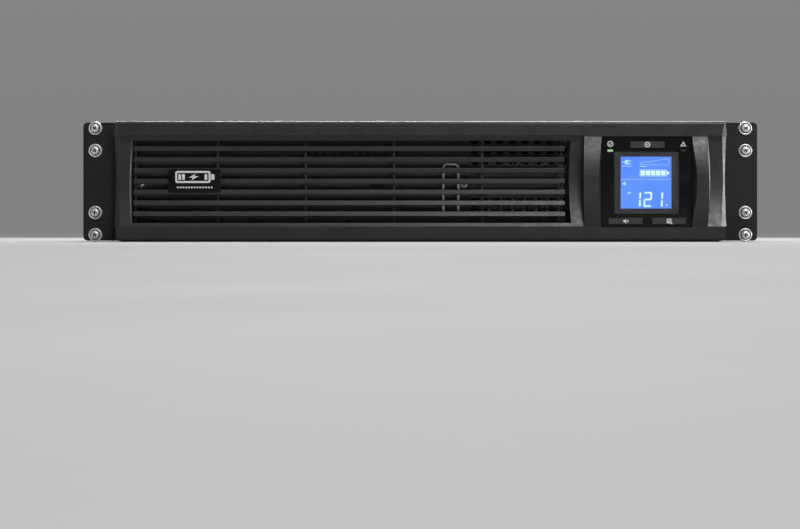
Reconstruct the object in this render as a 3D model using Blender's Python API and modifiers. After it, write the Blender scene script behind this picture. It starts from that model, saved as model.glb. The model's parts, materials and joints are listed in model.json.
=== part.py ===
"""A rack-mount uninterruptible power supply, two rack units high.

Metres, +Z up. The front faces -Y, +X is to the right of someone facing it, and the origin is on the
underside, at the middle of the width and the depth.
"""
import math

import bmesh
import bpy
from mathutils import Euler, Matrix, Vector

# Overall size
EAR_SPAN = 0.4826
HEIGHT = 0.086
CHASSIS_WIDTH = 0.432
DEPTH = 0.407
SHEET = 0.0012
GAP = 0.0003

# Planes across the depth
POD_FRONT = -DEPTH / 2
BEZEL_FRONT = POD_FRONT + 0.005
EAR_FRONT = BEZEL_FRONT + 0.020
EAR_SHEET = 0.002
EAR_LOW = 0.0007
BEZEL_BACK = EAR_FRONT - 0.0006
CHASSIS_FRONT = EAR_FRONT + EAR_SHEET + GAP
CHASSIS_BACK = DEPTH / 2 - 0.0035
DOOR_FRONT = CHASSIS_FRONT - 0.0017

# Rack fixings: the standard nineteen inch pattern
RACK_HOLE_SPAN = 0.4651
RACK_HOLE_RISES = (0.0381, 0.0222, -0.0222, -0.0381)
RACK_SLOT = (0.0103, 0.0068)
MID_HEIGHT = HEIGHT / 2

# Bezel
BEZEL_HALF_WIDTH = 0.2152
END_REACH, END_FLARE_LOW, END_FLARE_HIGH = 0.0009, 0.0005, 0.0011
BEZEL_WALL = 0.0024
BEZEL_LOW, BEZEL_HIGH = 0.0008, 0.0852
EDGE_ROUND = 0.0022
SCOOP_LOW, SCOOP_HIGH = 0.0108, 0.0750
SCOOP_DEPTH_LOW, SCOOP_DEPTH_HIGH, SCOOP_SAG = 0.001, 0.006, 0.0035
POD_LEFT, POD_RIGHT, POD_BOW = 0.116, 0.2025, 0.0012
GRILLE_LEFT, GRILLE_RIGHT, GRILLE_BOW = -0.2050, 0.1066, 0.0013
GRILLE_LOW, GRILLE_HIGH = 0.0133, 0.0717
GRILLE_CHAMFER = 0.0011
FACET_MIDDLE, FACET_FOOT, FACET_HEAD, FACET_BAND = 0.00135, 0.0040, 0.0032, 0.0041

# Louvre
SLATS = 7
SLAT_LOW, SLAT_PITCH, SLAT_HEIGHT = 0.0197, 0.00773, 0.0038
SLAT_LEFT, SLAT_RIGHT = -0.2036, 0.1025
RIB_PLACES = (-0.144, -0.0815, -0.0187, 0.0439)
RIB_WIDTH = 0.0016
LADDER_FRONT, LADDER_BACK = -0.1878, -0.1842

# Display
DISPLAY_X, DISPLAY_Z, DISPLAY_SIZE = 0.1597, 0.0423, 0.0636
DISPLAY_FRONT = -0.1973
DISPLAY_WALL = 0.0012
WINDOW = (0.1370, 0.0200, 0.1832, 0.0647)
BUTTON_SIZE = (0.0241, 0.0045)
BUTTON_TRAVEL = 0.0008
BUTTONS = {
    "power_button": (0.1602, 0.0686),
    "mute_button": (0.1447, 0.0146),
    "menu_button": (0.1756, 0.0146),
}
LIGHTS = {"online_light": (0.1341, 0.0645), "fault_light": (0.1856, 0.0645)}
LIGHT_SIZE = (0.0035, 0.0012)

# Battery drawer
DOOR_LEFT, DOOR_RIGHT, DOOR_LOW, DOOR_HIGH = -0.209, 0.0354, 0.0018, 0.0842
DOOR_SCREWS = {"left": -0.2003, "right": 0.0315}
DOOR_SCREW_Z = 0.0409
BAY = (-0.2079, 0.0028, 0.0285, 0.0824)
BATTERY = (0.094, 0.151, 0.065)
BATTERY_LEFT = -0.2042
TRAY_FLOOR = 0.0043
BATTERY_FRONT = -0.1720
TRAY_LEFT, TRAY_RIGHT, TRAY_BACK = -0.2070, -0.0130, 0.1345
DIVIDER_X = 0.0343
PLUG_MATING_Y = -0.120

# Fields of hexagonal vents
VENT_PITCH, VENT_WIDTH = 0.00897, 0.0073

# Electronics and the back
BOARD = (0.042, -0.155, 0.208, 0.004)
BOARD_Z = 0.0080
CORE_X, CORE_Y, CORE_LOW = 0.160, 0.060, 0.0016
CORE_WIDTH, CORE_STACK, CORE_HEIGHT = 0.084, 0.050, 0.070
FAN_X, FAN_SIZE, FAN_DEPTH = 0.166, 0.080, 0.0250
FAN_BACK = CHASSIS_BACK - SHEET - GAP
INLET_X, INLET_Z = 0.095, 0.0400
BREAKER_X, BREAKER_Z = 0.058, 0.0260
USB_X, NETWORK_X, PORT_Z = 0.048, 0.020, 0.0600
USB_SIZES = (0.0120, 0.0110), (0.0085, 0.0078), (0.0056, 0.0030)
NETWORK_SIZES = (0.0160, 0.0140), (0.0118, 0.0086)
OUTLET_X, OUTLET_PITCH = -0.112, 0.0345
OUTLET_ROWS = {"outlet_bank_upper": 0.0605, "outlet_bank_lower": 0.0265}
GROUND_X, GROUND_Z = 0.116, 0.0120


def start_collections():
    """Empties the scene and adds one collection for the parts and one for the cutters."""
    for obj in list(bpy.data.objects):
        bpy.data.objects.remove(obj, do_unlink=True)
    found = []
    for name in ("uninterruptible_power_supply", "cutters"):
        collection = bpy.data.collections.new(name)
        bpy.context.scene.collection.children.link(collection)
        found.append(collection)
    return found


PARTS, CUTTERS = start_collections()


def make_material(name, colour, roughness, metallic=0.0, glow=0.0):
    """A Principled material of one colour."""
    made = bpy.data.materials.new(name)
    made.use_nodes = True
    shader = made.node_tree.nodes["Principled BSDF"]
    shader.inputs["Base Color"].default_value = (*colour, 1.0)
    shader.inputs["Roughness"].default_value = roughness
    shader.inputs["Metallic"].default_value = metallic
    if glow:
        shader.inputs["Emission Color"].default_value = (*colour, 1.0)
        shader.inputs["Emission Strength"].default_value = glow
    made.diffuse_color = (*colour, 1.0)
    return made


FINISHES = {
    "charcoal_plastic": make_material("charcoal_plastic", (0.030, 0.030, 0.033), 0.45),
    "black_gloss": make_material("black_gloss", (0.008, 0.008, 0.009), 0.12),
    "black_steel": make_material("black_steel", (0.022, 0.022, 0.024), 0.5, 0.3),
    "bare_steel": make_material("bare_steel", (0.55, 0.56, 0.57), 0.35, 1.0),
    "nickel": make_material("nickel", (0.78, 0.77, 0.74), 0.2, 1.0),
    "aluminium": make_material("aluminium", (0.70, 0.71, 0.73), 0.35, 1.0),
    "copper": make_material("copper", (0.60, 0.22, 0.09), 0.35, 1.0),
    "battery_plastic": make_material("battery_plastic", (0.045, 0.050, 0.058), 0.5),
    "board_green": make_material("board_green", (0.015, 0.11, 0.04), 0.45),
    "clear_window": make_material("clear_window", (0.012, 0.012, 0.014), 0.05),
    "display_blue": make_material("display_blue", (0.13, 0.31, 1.0), 0.3, 0.0, 1.0),
    "light_green": make_material("light_green", (0.35, 0.95, 0.35), 0.3, 0.0, 1.0),
    "matte_red": make_material("matte_red", (0.45, 0.03, 0.02), 0.5),
}


def place_piece(name, mesh, finish, place=(0, 0, 0)):
    """An object of this mesh: a part if it has a finish, and otherwise a cutter."""
    obj = bpy.data.objects.new(name, mesh)
    (PARTS if finish else CUTTERS).objects.link(obj)
    obj.location = place
    if finish:
        mesh.materials.clear()
        mesh.materials.append(FINISHES[finish].copy())
        mesh.materials[0].name = name
    else:
        obj.hide_render = True
        obj.display_type = "WIRE"
    return obj


def boxes(name, corners, finish=None, bevel=0.0):
    """One object of separate boxes, each given as its low and high corners."""
    shape = bmesh.new()
    for low, high in corners:
        low, high = Vector(low), Vector(high)
        cube = bmesh.ops.create_cube(shape, size=1.0)
        bmesh.ops.scale(shape, vec=high - low, verts=cube["verts"])
        bmesh.ops.translate(shape, vec=(low + high) / 2, verts=cube["verts"])
    mesh = bpy.data.meshes.new(name)
    shape.to_mesh(mesh)
    shape.free()
    obj = place_piece(name, mesh, finish)
    if bevel:
        soften(obj, bevel)
    return obj


def box(name, low, high, finish=None, bevel=0.0):
    return boxes(name, [(low, high)], finish, bevel)


def soften(obj, width, segments=1):
    """Rounds the sharp edges."""
    bevel = obj.modifiers.new("soften", "BEVEL")
    bevel.width = width
    bevel.segments = segments
    bevel.limit_method = "ANGLE"
    bevel.angle_limit = math.radians(40)


# Each outline is drawn across an axis: (X, Y) across Z, (X, Z) across Y and (Y, Z) across X.
TURN_ACROSS = {
    "Z": Matrix.Identity(3),
    "Y": Matrix(((1, 0, 0), (0, 0, 1), (0, 1, 0))),
    "X": Matrix(((0, 0, 1), (1, 0, 0), (0, 1, 0))),
}


def extrude(name, outlines, low, high, across, finish=None):
    """Flat outlines given thickness from low to high. An outline inside another is a hole in it."""
    curve = bpy.data.curves.new(name, "CURVE")
    curve.dimensions = "2D"
    curve.fill_mode = "BOTH"
    curve.extrude = (high - low) / 2
    for outline in outlines:
        spline = curve.splines.new("POLY")
        spline.points.add(len(outline) - 1)
        for point, (u, v) in zip(spline.points, outline):
            point.co = (u, v, 0, 1)
        spline.use_cyclic_u = True
    flat = bpy.data.objects.new(name, curve)
    bpy.context.scene.collection.objects.link(flat)
    mesh = mesh_of(flat)
    shape = bmesh.new()
    shape.from_mesh(mesh)
    bmesh.ops.translate(shape, vec=(0, 0, (low + high) / 2), verts=shape.verts)
    turn = TURN_ACROSS[across].to_4x4()
    bmesh.ops.transform(shape, matrix=turn, verts=shape.verts)
    if turn.is_negative:
        bmesh.ops.reverse_faces(shape, faces=shape.faces)
    shape.to_mesh(mesh)
    shape.free()
    return place_piece(name, mesh, finish)


def mesh_of(curve_object, weld=1e-6):
    """The curve object as a welded mesh. The curve object is removed."""
    graph = bpy.context.evaluated_depsgraph_get()
    mesh = bpy.data.meshes.new_from_object(curve_object.evaluated_get(graph))
    mesh.transform(curve_object.matrix_world)
    mesh.name = curve_object.name
    bpy.data.objects.remove(curve_object, do_unlink=True)
    shape = bmesh.new()
    shape.from_mesh(mesh)
    bmesh.ops.remove_doubles(shape, verts=shape.verts, dist=weld)
    shape.to_mesh(mesh)
    shape.free()
    return mesh


def tube(name, points, radius, finish, sides=2):
    """A round bar along the points, with closed ends."""
    curve = bpy.data.curves.new(name, "CURVE")
    curve.dimensions = "3D"
    curve.bevel_depth = radius
    curve.bevel_resolution = sides
    curve.use_fill_caps = True
    spline = curve.splines.new("POLY")
    spline.points.add(len(points) - 1)
    for point, place in zip(spline.points, points):
        point.co = (*place, 1)
    bar = bpy.data.objects.new(name, curve)
    bpy.context.scene.collection.objects.link(bar)
    return place_piece(name, mesh_of(bar), finish)


# A turned piece stands along its axis, and its head points this way.
HEAD_TURN = {
    "-Y": Euler((math.pi / 2, 0, 0)),
    "+Y": Euler((-math.pi / 2, 0, 0)),
    "+Z": Euler((0, 0, 0)),
}


def turned(name, profile, head, place, finish, steps=16):
    """A solid of revolution. The profile is (radius, height) from top to bottom on its outer side."""
    mesh = bpy.data.meshes.new(name)
    shape = bmesh.new()
    verts = [shape.verts.new((radius, 0, height)) for radius, height in profile]
    for one, other in zip(verts, verts[1:]):
        shape.edges.new((one, other))
    shape.to_mesh(mesh)
    shape.free()
    obj = place_piece(name, mesh, finish, place)
    obj.rotation_euler = HEAD_TURN[head]
    screw = obj.modifiers.new("turn", "SCREW")
    screw.axis = "Z"
    screw.steps = screw.render_steps = steps
    screw.use_merge_vertices = True
    screw.merge_threshold = 1e-5
    screw.use_smooth_shade = True
    return obj


def combine(obj, other, how):
    """Joins, cuts or trims obj with the other object, which becomes a guide."""
    if other.name not in CUTTERS.objects:
        PARTS.objects.unlink(other)
        CUTTERS.objects.link(other)
        other.hide_render = True
        other.display_type = "WIRE"
    step = obj.modifiers.new(f"{how}_{other.name}", "BOOLEAN")
    step.operation = how
    step.solver = "EXACT"
    step.object = other


def cut(obj, *others):
    for other in others:
        combine(obj, other, "DIFFERENCE")


def join(obj, *others):
    for other in others:
        combine(obj, other, "UNION")


def arc(u, v, radius, start, end, steps):
    """Points on an arc, with its angles in degrees."""
    angles = [math.radians(start + (end - start) * i / steps) for i in range(steps + 1)]
    return [(u + radius * math.cos(a), v + radius * math.sin(a)) for a in angles]


def circle(u, v, radius, sides=24, start=0.0):
    return arc(u, v, radius, start, start + 360 * (sides - 1) / sides, sides - 1)


def rectangle(left, low, right, high):
    return [(left, low), (right, low), (right, high), (left, high)]


def rounded(left, low, right, high, radius, steps=3):
    """A rectangle with round corners."""
    corners = (
        (right - radius, low + radius, -90),
        (right - radius, high - radius, 0),
        (left + radius, high - radius, 90),
        (left + radius, low + radius, 180),
    )
    return [p for u, v, turn in corners for p in arc(u, v, radius, turn, turn + 90, steps)]


def slot(u, v, length, width):
    """A hole with round ends, lying along the first axis."""
    reach = (length - width) / 2
    return arc(u + reach, v, width / 2, -90, 90, 6) + arc(u - reach, v, width / 2, 90, 270, 6)


def span(low, high, steps):
    """Evenly spaced values from low to high, both included."""
    return [low + (high - low) * i / steps for i in range(steps + 1)]


def about(u, v, width, height):
    """A rectangle around a centre."""
    return rectangle(u - width / 2, v - height / 2, u + width / 2, v + height / 2)


# ---------------------------------------------------------------- bezel


def bulge_share(z):
    """One at the middle of the display's height, falling to none at its top and bottom."""
    return 1 - ((z - DISPLAY_Z) / (DISPLAY_SIZE / 2)) ** 2


def scoop_y(z):
    """The front surface between the bands: a hollow arc, deepest above the middle."""
    t = (z - SCOOP_LOW) / (SCOOP_HIGH - SCOOP_LOW)
    slope = SCOOP_DEPTH_LOW + (SCOOP_DEPTH_HIGH - SCOOP_DEPTH_LOW) * t
    return BEZEL_FRONT + slope + 4 * SCOOP_SAG * t * (1 - t)


def bowed_outline(left, right, low, high, left_bow, right_bow, steps=12):
    """An outline across Y whose upright sides bow by these amounts at half height."""
    rises = span(low, high, steps)
    shares = [1 - ((z - (low + high) / 2) / ((high - low) / 2)) ** 2 for z in rises]
    right_side = [(right + right_bow * s, z) for z, s in zip(rises, shares)]
    left_side = [(left + left_bow * s, z) for z, s in zip(rises, shares)]
    return right_side + left_side[::-1]


def bezel_block():
    """The solid that the bezel is hollowed from: flat bands with rounded outer edges."""
    front, r = BEZEL_FRONT, EDGE_ROUND
    outline = [(BEZEL_BACK, BEZEL_LOW)]
    outline += arc(front + r, BEZEL_LOW + r, r, 270, 180, 5)
    outline += arc(front + r, BEZEL_HIGH - r, r, 180, 90, 5)
    outline += [(BEZEL_BACK, BEZEL_HIGH)]
    reach = BEZEL_HALF_WIDTH + 0.01
    return extrude("front_bezel", [outline], -reach, reach, "X", "charcoal_plastic")


def pod_bulge():
    """The display pod's swell, forward of the bands."""
    rises = span(SCOOP_LOW - 0.0012, SCOOP_HIGH + 0.0012, 18)
    outline = [(BEZEL_FRONT - (BEZEL_FRONT - POD_FRONT) * bulge_share(z), z) for z in rises]
    outline += [(BEZEL_FRONT + 0.004, rises[-1]), (BEZEL_FRONT + 0.004, rises[0])]
    return extrude("pod_bulge", [outline], POD_LEFT - 0.003, POD_RIGHT + 0.003, "X")


def scoop_cutter():
    """The space in front of the hollow arc, except where the display pod stands."""
    outline = [(scoop_y(z), z) for z in span(SCOOP_LOW, SCOOP_HIGH, 20)]
    outline += [(POD_FRONT - 0.01, SCOOP_HIGH), (POD_FRONT - 0.01, SCOOP_LOW)]
    cutter = extrude("scoop_cutter", [outline], -0.23, 0.23, "X")
    pod = bowed_outline(POD_LEFT, POD_RIGHT, 0.005, 0.08, -POD_BOW, POD_BOW, 14)
    cut(cutter, extrude("pod_outline", [pod], POD_FRONT - 0.02, BEZEL_BACK, "Y"))
    return cutter


def bezel_hollow():
    """The open space behind the bezel's front wall."""
    wall = BEZEL_WALL
    front = BEZEL_FRONT + wall
    outline = [(front, BEZEL_LOW + wall), (front, SCOOP_LOW)]
    outline += [(scoop_y(z) + wall, z) for z in span(SCOOP_LOW + 0.001, SCOOP_HIGH, 14)]
    outline += [(scoop_y(SCOOP_HIGH) + wall, SCOOP_HIGH + wall), (front, SCOOP_HIGH + wall)]
    outline += [(front, BEZEL_HIGH - wall), (BEZEL_BACK + 0.01, BEZEL_HIGH - wall)]
    outline += [(BEZEL_BACK + 0.01, BEZEL_LOW + wall)]
    reach = BEZEL_HALF_WIDTH - wall
    return extrude("bezel_hollow", [outline], -reach, reach, "X")


def end_share(z):
    """None at half the hollow arc's height, rising to one at its foot and its head."""
    return abs(1 - 2 * (z - SCOOP_LOW) / (SCOOP_HIGH - SCOOP_LOW)) ** 1.2


def end_x(z):
    """Where the bezel's right end is beside the hollow arc. It flares at the foot and the head."""
    flare = END_FLARE_LOW if z < (SCOOP_LOW + SCOOP_HIGH) / 2 else END_FLARE_HIGH
    return BEZEL_HALF_WIDTH + END_REACH + flare * end_share(z)


def bezel_ends():
    """The bezel's outline from the front, whose ends lean in up the top band."""
    half = BEZEL_HALF_WIDTH
    right = [(half - 0.0001, BEZEL_LOW - 0.01), (half - 0.0001, SCOOP_LOW - 0.0002)]
    right += [(end_x(z), z) for z in span(SCOOP_LOW, SCOOP_HIGH, 12)]
    right += [(half + 0.0018, SCOOP_HIGH + 0.0002), (half - 0.0002, BEZEL_HIGH + 0.001)]
    right += [(half - 0.0003, BEZEL_HIGH + 0.01)]
    outline = right + [(-x, z) for x, z in reversed(right)]
    return extrude("bezel_ends", [outline], POD_FRONT - 0.02, 0.0, "Y")


def edge_wedge(name, rows, side=1):
    """A cutter that slopes an upright edge off at 45 degrees.

    Each row is (height, x of the edge, y of the surface in front, width taken off). The solid lies
    to the left of the edge, or to its right where side is -1.
    """
    spare, reach = 0.0002, 0.003
    shape = bmesh.new()
    levels = []
    for z, x, y, width in rows:
        section = [(-width - spare, -spare), (spare, width + spare), (reach, width + spare)]
        section += [(reach, -reach), (-width - spare, -reach)]
        levels.append([shape.verts.new((x + side * u, y + v, z)) for u, v in section])
    for lower, upper in zip(levels, levels[1:]):
        for i in range(len(lower)):
            j = (i + 1) % len(lower)
            shape.faces.new((lower[i], lower[j], upper[j], upper[i]))
    shape.faces.new(levels[0])
    shape.faces.new(levels[-1])
    bmesh.ops.triangulate(shape, faces=shape.faces)
    bmesh.ops.recalc_face_normals(shape, faces=shape.faces)
    mesh = bpy.data.meshes.new(name)
    shape.to_mesh(mesh)
    shape.free()
    return place_piece(name, mesh, None)


def end_facets():
    """Slanted facets down both ends: a tall one beside the hollow arc, a short one on the top band."""
    tall = []
    for z in span(SCOOP_LOW, SCOOP_HIGH + 0.0001, 12):
        far = FACET_FOOT if z < (SCOOP_LOW + SCOOP_HIGH) / 2 else FACET_HEAD
        tall.append((z, end_x(z), scoop_y(z), FACET_MIDDLE + (far - FACET_MIDDLE) * end_share(z)))
    half, head = BEZEL_HALF_WIDTH, BEZEL_HIGH + 0.001
    short = [(SCOOP_HIGH, half + 0.0018, BEZEL_FRONT, FACET_BAND), (head, half - 0.0002, BEZEL_FRONT, 0)]
    cutters = []
    for name, rows in (("tall", tall), ("short", short)):
        cutters.append(edge_wedge(f"facet_{name}_right", rows))
        rows = [(z, -x, y, width) for z, x, y, width in rows]
        cutters.append(edge_wedge(f"facet_{name}_left", rows, -1))
    return cutters


def grille_cutter():
    """The louvre's opening. Its upright sides both bow to the left, and the left one is chamfered."""
    left = GRILLE_LEFT + GRILLE_CHAMFER
    outline = bowed_outline(left, GRILLE_RIGHT, GRILLE_LOW, GRILLE_HIGH, -GRILLE_BOW, -GRILLE_BOW)
    opening = extrude("grille_cutter", [outline], POD_FRONT - 0.01, -0.1855, "Y")
    middle, half = (GRILLE_LOW + GRILLE_HIGH) / 2, (GRILLE_HIGH - GRILLE_LOW) / 2
    rows = []
    for z in span(GRILLE_LOW + 0.0001, GRILLE_HIGH - 0.0001, 12):
        x = left - GRILLE_BOW * (1 - ((z - middle) / half) ** 2)
        rows.append((z, x, scoop_y(z), GRILLE_CHAMFER))
    return opening, edge_wedge("grille_chamfer", rows)


def pod_chamfer():
    """A narrow chamfer down the pod's right edge, wider at its head."""
    middle, half = 0.0425, 0.0375
    rows = []
    for z in span(SCOOP_LOW + 0.0003, SCOOP_HIGH - 0.0003, 12):
        x = POD_RIGHT + POD_BOW * (1 - ((z - middle) / half) ** 2)
        y = BEZEL_FRONT - (BEZEL_FRONT - POD_FRONT) * max(0, bulge_share(z))
        share = (z - SCOOP_LOW) / (SCOOP_HIGH - SCOOP_LOW)
        rows.append((z, x, y, 0.0002 + 0.0008 * share))
    return edge_wedge("pod_chamfer", rows)


def display_lean(side, flare, bow):
    """The space in front of a wall that leans out from the display's side to a bowed edge."""
    half, hidden = DISPLAY_SIZE / 2 + GAP, 0.0002
    edge = half - hidden
    low, high = DISPLAY_Z - edge, DISPLAY_Z + edge
    bowed = bowed_outline(edge - 0.01, edge + flare, low, high, 0, bow)
    bowed = [(DISPLAY_X + side * x, z) for x, z in bowed]
    lean = extrude(f"display_lean_{side}", [bowed], POD_FRONT - 0.001, DISPLAY_FRONT, "Y")
    for vert in lean.data.vertices:
        if vert.co.y > DISPLAY_FRONT - 1e-5:
            vert.co.x = DISPLAY_X + side * min(side * (vert.co.x - DISPLAY_X), edge)
    return lean


def display_cutter():
    """The display's opening, between two walls that lean out."""
    half = DISPLAY_SIZE / 2 + GAP
    straight = rectangle(DISPLAY_X - half, DISPLAY_Z - half, DISPLAY_X + half, DISPLAY_Z + half)
    opening = extrude("display_cutter", [straight], POD_FRONT - 0.01, BEZEL_BACK + 0.01, "Y")
    return opening, display_lean(1, 0.0, 0.0036), display_lean(-1, 0.0008, 0.0021)


def bezel_bosses():
    """Bosses behind the front wall that the louvre is fixed to."""
    half_width, half_height, back = 0.003, 0.0016, LADDER_FRONT - GAP
    corners = []
    for x in RIB_PLACES:
        for z, front in ((0.0750, -0.1910), (0.0105, -0.1968)):
            low = (x - half_width, front, z - half_height)
            corners.append((low, (x + half_width, back, z + half_height)))
    return boxes("bezel_bosses", corners)


def make_bezel():
    bezel = bezel_block()
    join(bezel, pod_bulge())
    combine(bezel, bezel_ends(), "INTERSECT")
    cut(bezel, scoop_cutter(), bezel_hollow(), *end_facets())
    front, low, high = -0.197, 0.013, 0.071
    pockets = []
    for left, right in ((0.1184, 0.1252), (0.1972, 0.2001)):
        pockets.append(((left, front, low), (right, BEZEL_BACK + 0.009, high)))
    cut(bezel, boxes("pod_pockets", pockets), pod_chamfer(), *grille_cutter(), *display_cutter())
    join(bezel, bezel_bosses())


def make_louvre():
    """Seven slats that follow the hollow arc, on a ladder of ribs behind them."""
    low, high, rail, stile = 0.0087, 0.0770, 0.0033, 0.0012
    left_end, right_end = SLAT_LEFT + 0.0006, SLAT_RIGHT - 0.0015
    sides = [x + d for x in RIB_PLACES for d in (-RIB_WIDTH / 2, RIB_WIDTH / 2)]
    sides = [left_end + stile, *sides, right_end - stile]
    middles = [SLAT_LOW + i * SLAT_PITCH for i in range(SLATS)]
    bars = [low + rail] + [z + d for z in middles for d in (-0.0014, 0.0014)] + [high - rail]
    ends = (left_end, LADDER_FRONT, low), (right_end, LADDER_BACK, high)
    louvre = box("louvre_insert", *ends, "charcoal_plastic")
    panes = []
    for left, right in zip(sides[0::2], sides[1::2]):
        for foot, head in zip(bars[0::2], bars[1::2]):
            panes.append(((left, LADDER_FRONT - 0.01, foot), (right, LADDER_BACK + 0.01, head)))
    cut(louvre, boxes("louvre_panes", panes))
    slats = []
    for z in middles:
        foot, head, edge = z - SLAT_HEIGHT / 2, z + SLAT_HEIGHT / 2, 0.0004
        back = LADDER_FRONT + 0.0010
        face = [scoop_y(foot) + 0.0009, scoop_y(head) + 0.0009]
        slat = [(back, foot), (face[0] + edge, foot), (face[0], foot + edge)]
        slat += [(face[1], head - edge), (face[1] + edge, head), (back, head)]
        slats.append(slat)
    join(louvre, extrude("louvre_slats", slats, SLAT_LEFT, SLAT_RIGHT, "X"))


def make_badge():
    """A plain plate on the louvre."""
    z, half = 0.0435, 0.0080
    back = scoop_y(z - half - 0.001) + 0.0009 - GAP
    outline = rounded(-0.1785, z - half, -0.1415, z + half, 0.0012)
    extrude("badge_plate", [outline], back - 0.0011, back, "Y", "black_gloss")


# ---------------------------------------------------------------- display


def make_display_housing():
    half = DISPLAY_SIZE / 2
    edges = (DISPLAY_X - half, DISPLAY_Z - half, DISPLAY_X + half, DISPLAY_Z + half)
    inner = [edges[0] + DISPLAY_WALL, edges[1] + DISPLAY_WALL]
    inner += [edges[2] - DISPLAY_WALL, edges[3] - DISPLAY_WALL]
    back = CHASSIS_FRONT - GAP
    outer = rounded(*edges, 0.0008)
    housing = extrude("display_housing", [outer], DISPLAY_FRONT, back, "Y", "black_gloss")
    flange = rectangle(edges[0] - 0.005, edges[1] + 0.004, edges[2] + 0.005, edges[3] - 0.004)
    join(housing, extrude("display_flange", [flange], back - 0.0016, back - 0.0001, "Y"))
    cut(housing, extrude("display_hollow", [rectangle(*inner)], DISPLAY_FRONT + 0.002, 0, "Y"))
    holes = [rectangle(*WINDOW)]
    for x, z in BUTTONS.values():
        holes.append(about(x, z, BUTTON_SIZE[0] + 2 * GAP, BUTTON_SIZE[1] + 2 * GAP))
    for x, z in LIGHTS.values():
        holes.append(about(x, z, LIGHT_SIZE[0] + 2 * GAP, LIGHT_SIZE[1] + 2 * GAP))
    cut(housing, extrude("display_holes", holes, DISPLAY_FRONT - 0.01, DISPLAY_FRONT + 0.01, "Y"))


def make_display_inside():
    left, low, right, high = WINDOW
    front = DISPLAY_FRONT
    pane = rectangle(left + GAP, low + GAP, right - GAP, high - GAP)
    extrude("display_window", [pane], front + 0.0002, front + 0.0012, "Y", "clear_window")
    box("lcd_cell", (0.1390, front + 0.0023, 0.0193), (0.1802, front + 0.0048, 0.0637), "display_blue")
    box("display_board", (0.1312, -0.1865, 0.0131), (0.1884, -0.1849, 0.0715), "board_green")
    for name, (x, z) in LIGHTS.items():
        width, height = LIGHT_SIZE
        finish = "light_green" if name == "online_light" else "black_gloss"
        low_corner = (x - width / 2, front - 0.0001, z - height / 2)
        box(name, low_corner, (x + width / 2, -0.1868, z + height / 2), finish)


def make_buttons():
    """Each button is a cap through the housing's front, with a wider back that keeps it in."""
    for name, (x, z) in BUTTONS.items():
        width, height = BUTTON_SIZE
        cap = box(name, (-width / 2, -0.0008, -height / 2), (width / 2, 0.0028, height / 2), "black_gloss")
        cap.location = (x, DISPLAY_FRONT, z)
        back = box(
            name + "_back",
            (x - width / 2 - 0.0012, DISPLAY_FRONT + 0.0023, z - height / 2 + 0.0004),
            (x + width / 2 + 0.0012, DISPLAY_FRONT + 0.0034, z + height / 2 - 0.0004),
        )
        stem = box(
            name + "_stem",
            (x - 0.0015, DISPLAY_FRONT + 0.002, z - 0.0012),
            (x + 0.0015, -0.1865 - GAP - BUTTON_TRAVEL, z + 0.0012),
        )
        join(cap, back, stem)


# ---------------------------------------------------------------- sheet metal


def make_tray():
    """The floor, with a low flange up each side and bosses for the main board."""
    half, front, back = CHASSIS_WIDTH / 2 - SHEET - GAP, CHASSIS_FRONT, CHASSIS_BACK
    rise = 0.022
    outline = [(-half, 0), (half, 0), (half, rise), (half - SHEET, rise), (half - SHEET, SHEET)]
    outline += [(-half + SHEET, SHEET), (-half + SHEET, rise), (-half, rise)]
    tray = extrude("chassis_tray", [outline], front, back - SHEET - GAP, "Y", "black_steel")
    left, near, right, far = BOARD
    posts = []
    for x in (left + 0.006, right - 0.006):
        for y in (near + 0.006, far - 0.006):
            posts.append(((x - 0.003, y - 0.003, SHEET / 2), (x + 0.003, y + 0.003, BOARD_Z - GAP)))
    join(tray, boxes("board_posts", posts))


def make_cover():
    """The lid and both sides, folded from one sheet."""
    half, low = CHASSIS_WIDTH / 2, 0.0004
    outline = [(-half, low), (-half, HEIGHT), (half, HEIGHT), (half, low)]
    inner = half - SHEET
    outline += [(inner, low), (inner, HEIGHT - SHEET), (-inner, HEIGHT - SHEET), (-inner, low)]
    extrude("top_cover", [outline], CHASSIS_FRONT, CHASSIS_BACK, "Y", "black_steel")


def vent_row(left, z, count):
    return [circle(left + VENT_PITCH * i, z, VENT_WIDTH / 2, 6) for i in range(count)]


def make_front_frame():
    """The steel front with the battery bay's aperture and a field of hexagonal vents."""
    outlines = [rectangle(-0.2128, SHEET + GAP, 0.2128, HEIGHT - SHEET - GAP)]
    outlines.append(rectangle(*BAY))
    for z in (0.0204, 0.0278, 0.0584, 0.0658, 0.0732):
        outlines += vent_row(0.0392, z, 8)
    outlines.append(about(0.0897, 0.0130, 0.0066, 0.0018))
    outlines.append(circle(DOOR_SCREWS["right"], DOOR_SCREW_Z, 0.0022, 12))
    outlines.append(about(0.1600, 0.0400, 0.0160, 0.0120))
    extrude("front_frame", outlines, CHASSIS_FRONT, CHASSIS_FRONT + SHEET, "Y", "black_steel")


def make_ear(side):
    """An L bracket: a flange that meets the rack's post, and a leg along the chassis side."""
    name = "rack_ear_right" if side > 0 else "rack_ear_left"
    inner, outer = CHASSIS_WIDTH / 2 + GAP, EAR_SPAN / 2
    outlines = [rounded(inner, EAR_LOW, outer, HEIGHT - EAR_LOW, 0.003, 4)]
    for rise in RACK_HOLE_RISES:
        outlines.append(slot(RACK_HOLE_SPAN / 2, MID_HEIGHT + rise, *RACK_SLOT))
    outlines = [[(side * x, z) for x, z in outline] for outline in outlines]
    ear = extrude(name, outlines, EAR_FRONT, EAR_FRONT + EAR_SHEET, "Y", "black_steel")
    leg = [(EAR_FRONT + 0.001, 0.006), (-0.124, 0.006), (-0.118, 0.012)]
    leg += [(-0.118, HEIGHT - 0.012), (-0.124, HEIGHT - 0.006), (EAR_FRONT + 0.001, HEIGHT - 0.006)]
    near, far = sorted((side * inner, side * (inner + EAR_SHEET)))
    join(ear, extrude(name + "_leg", [leg], near, far, "X"))


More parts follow.
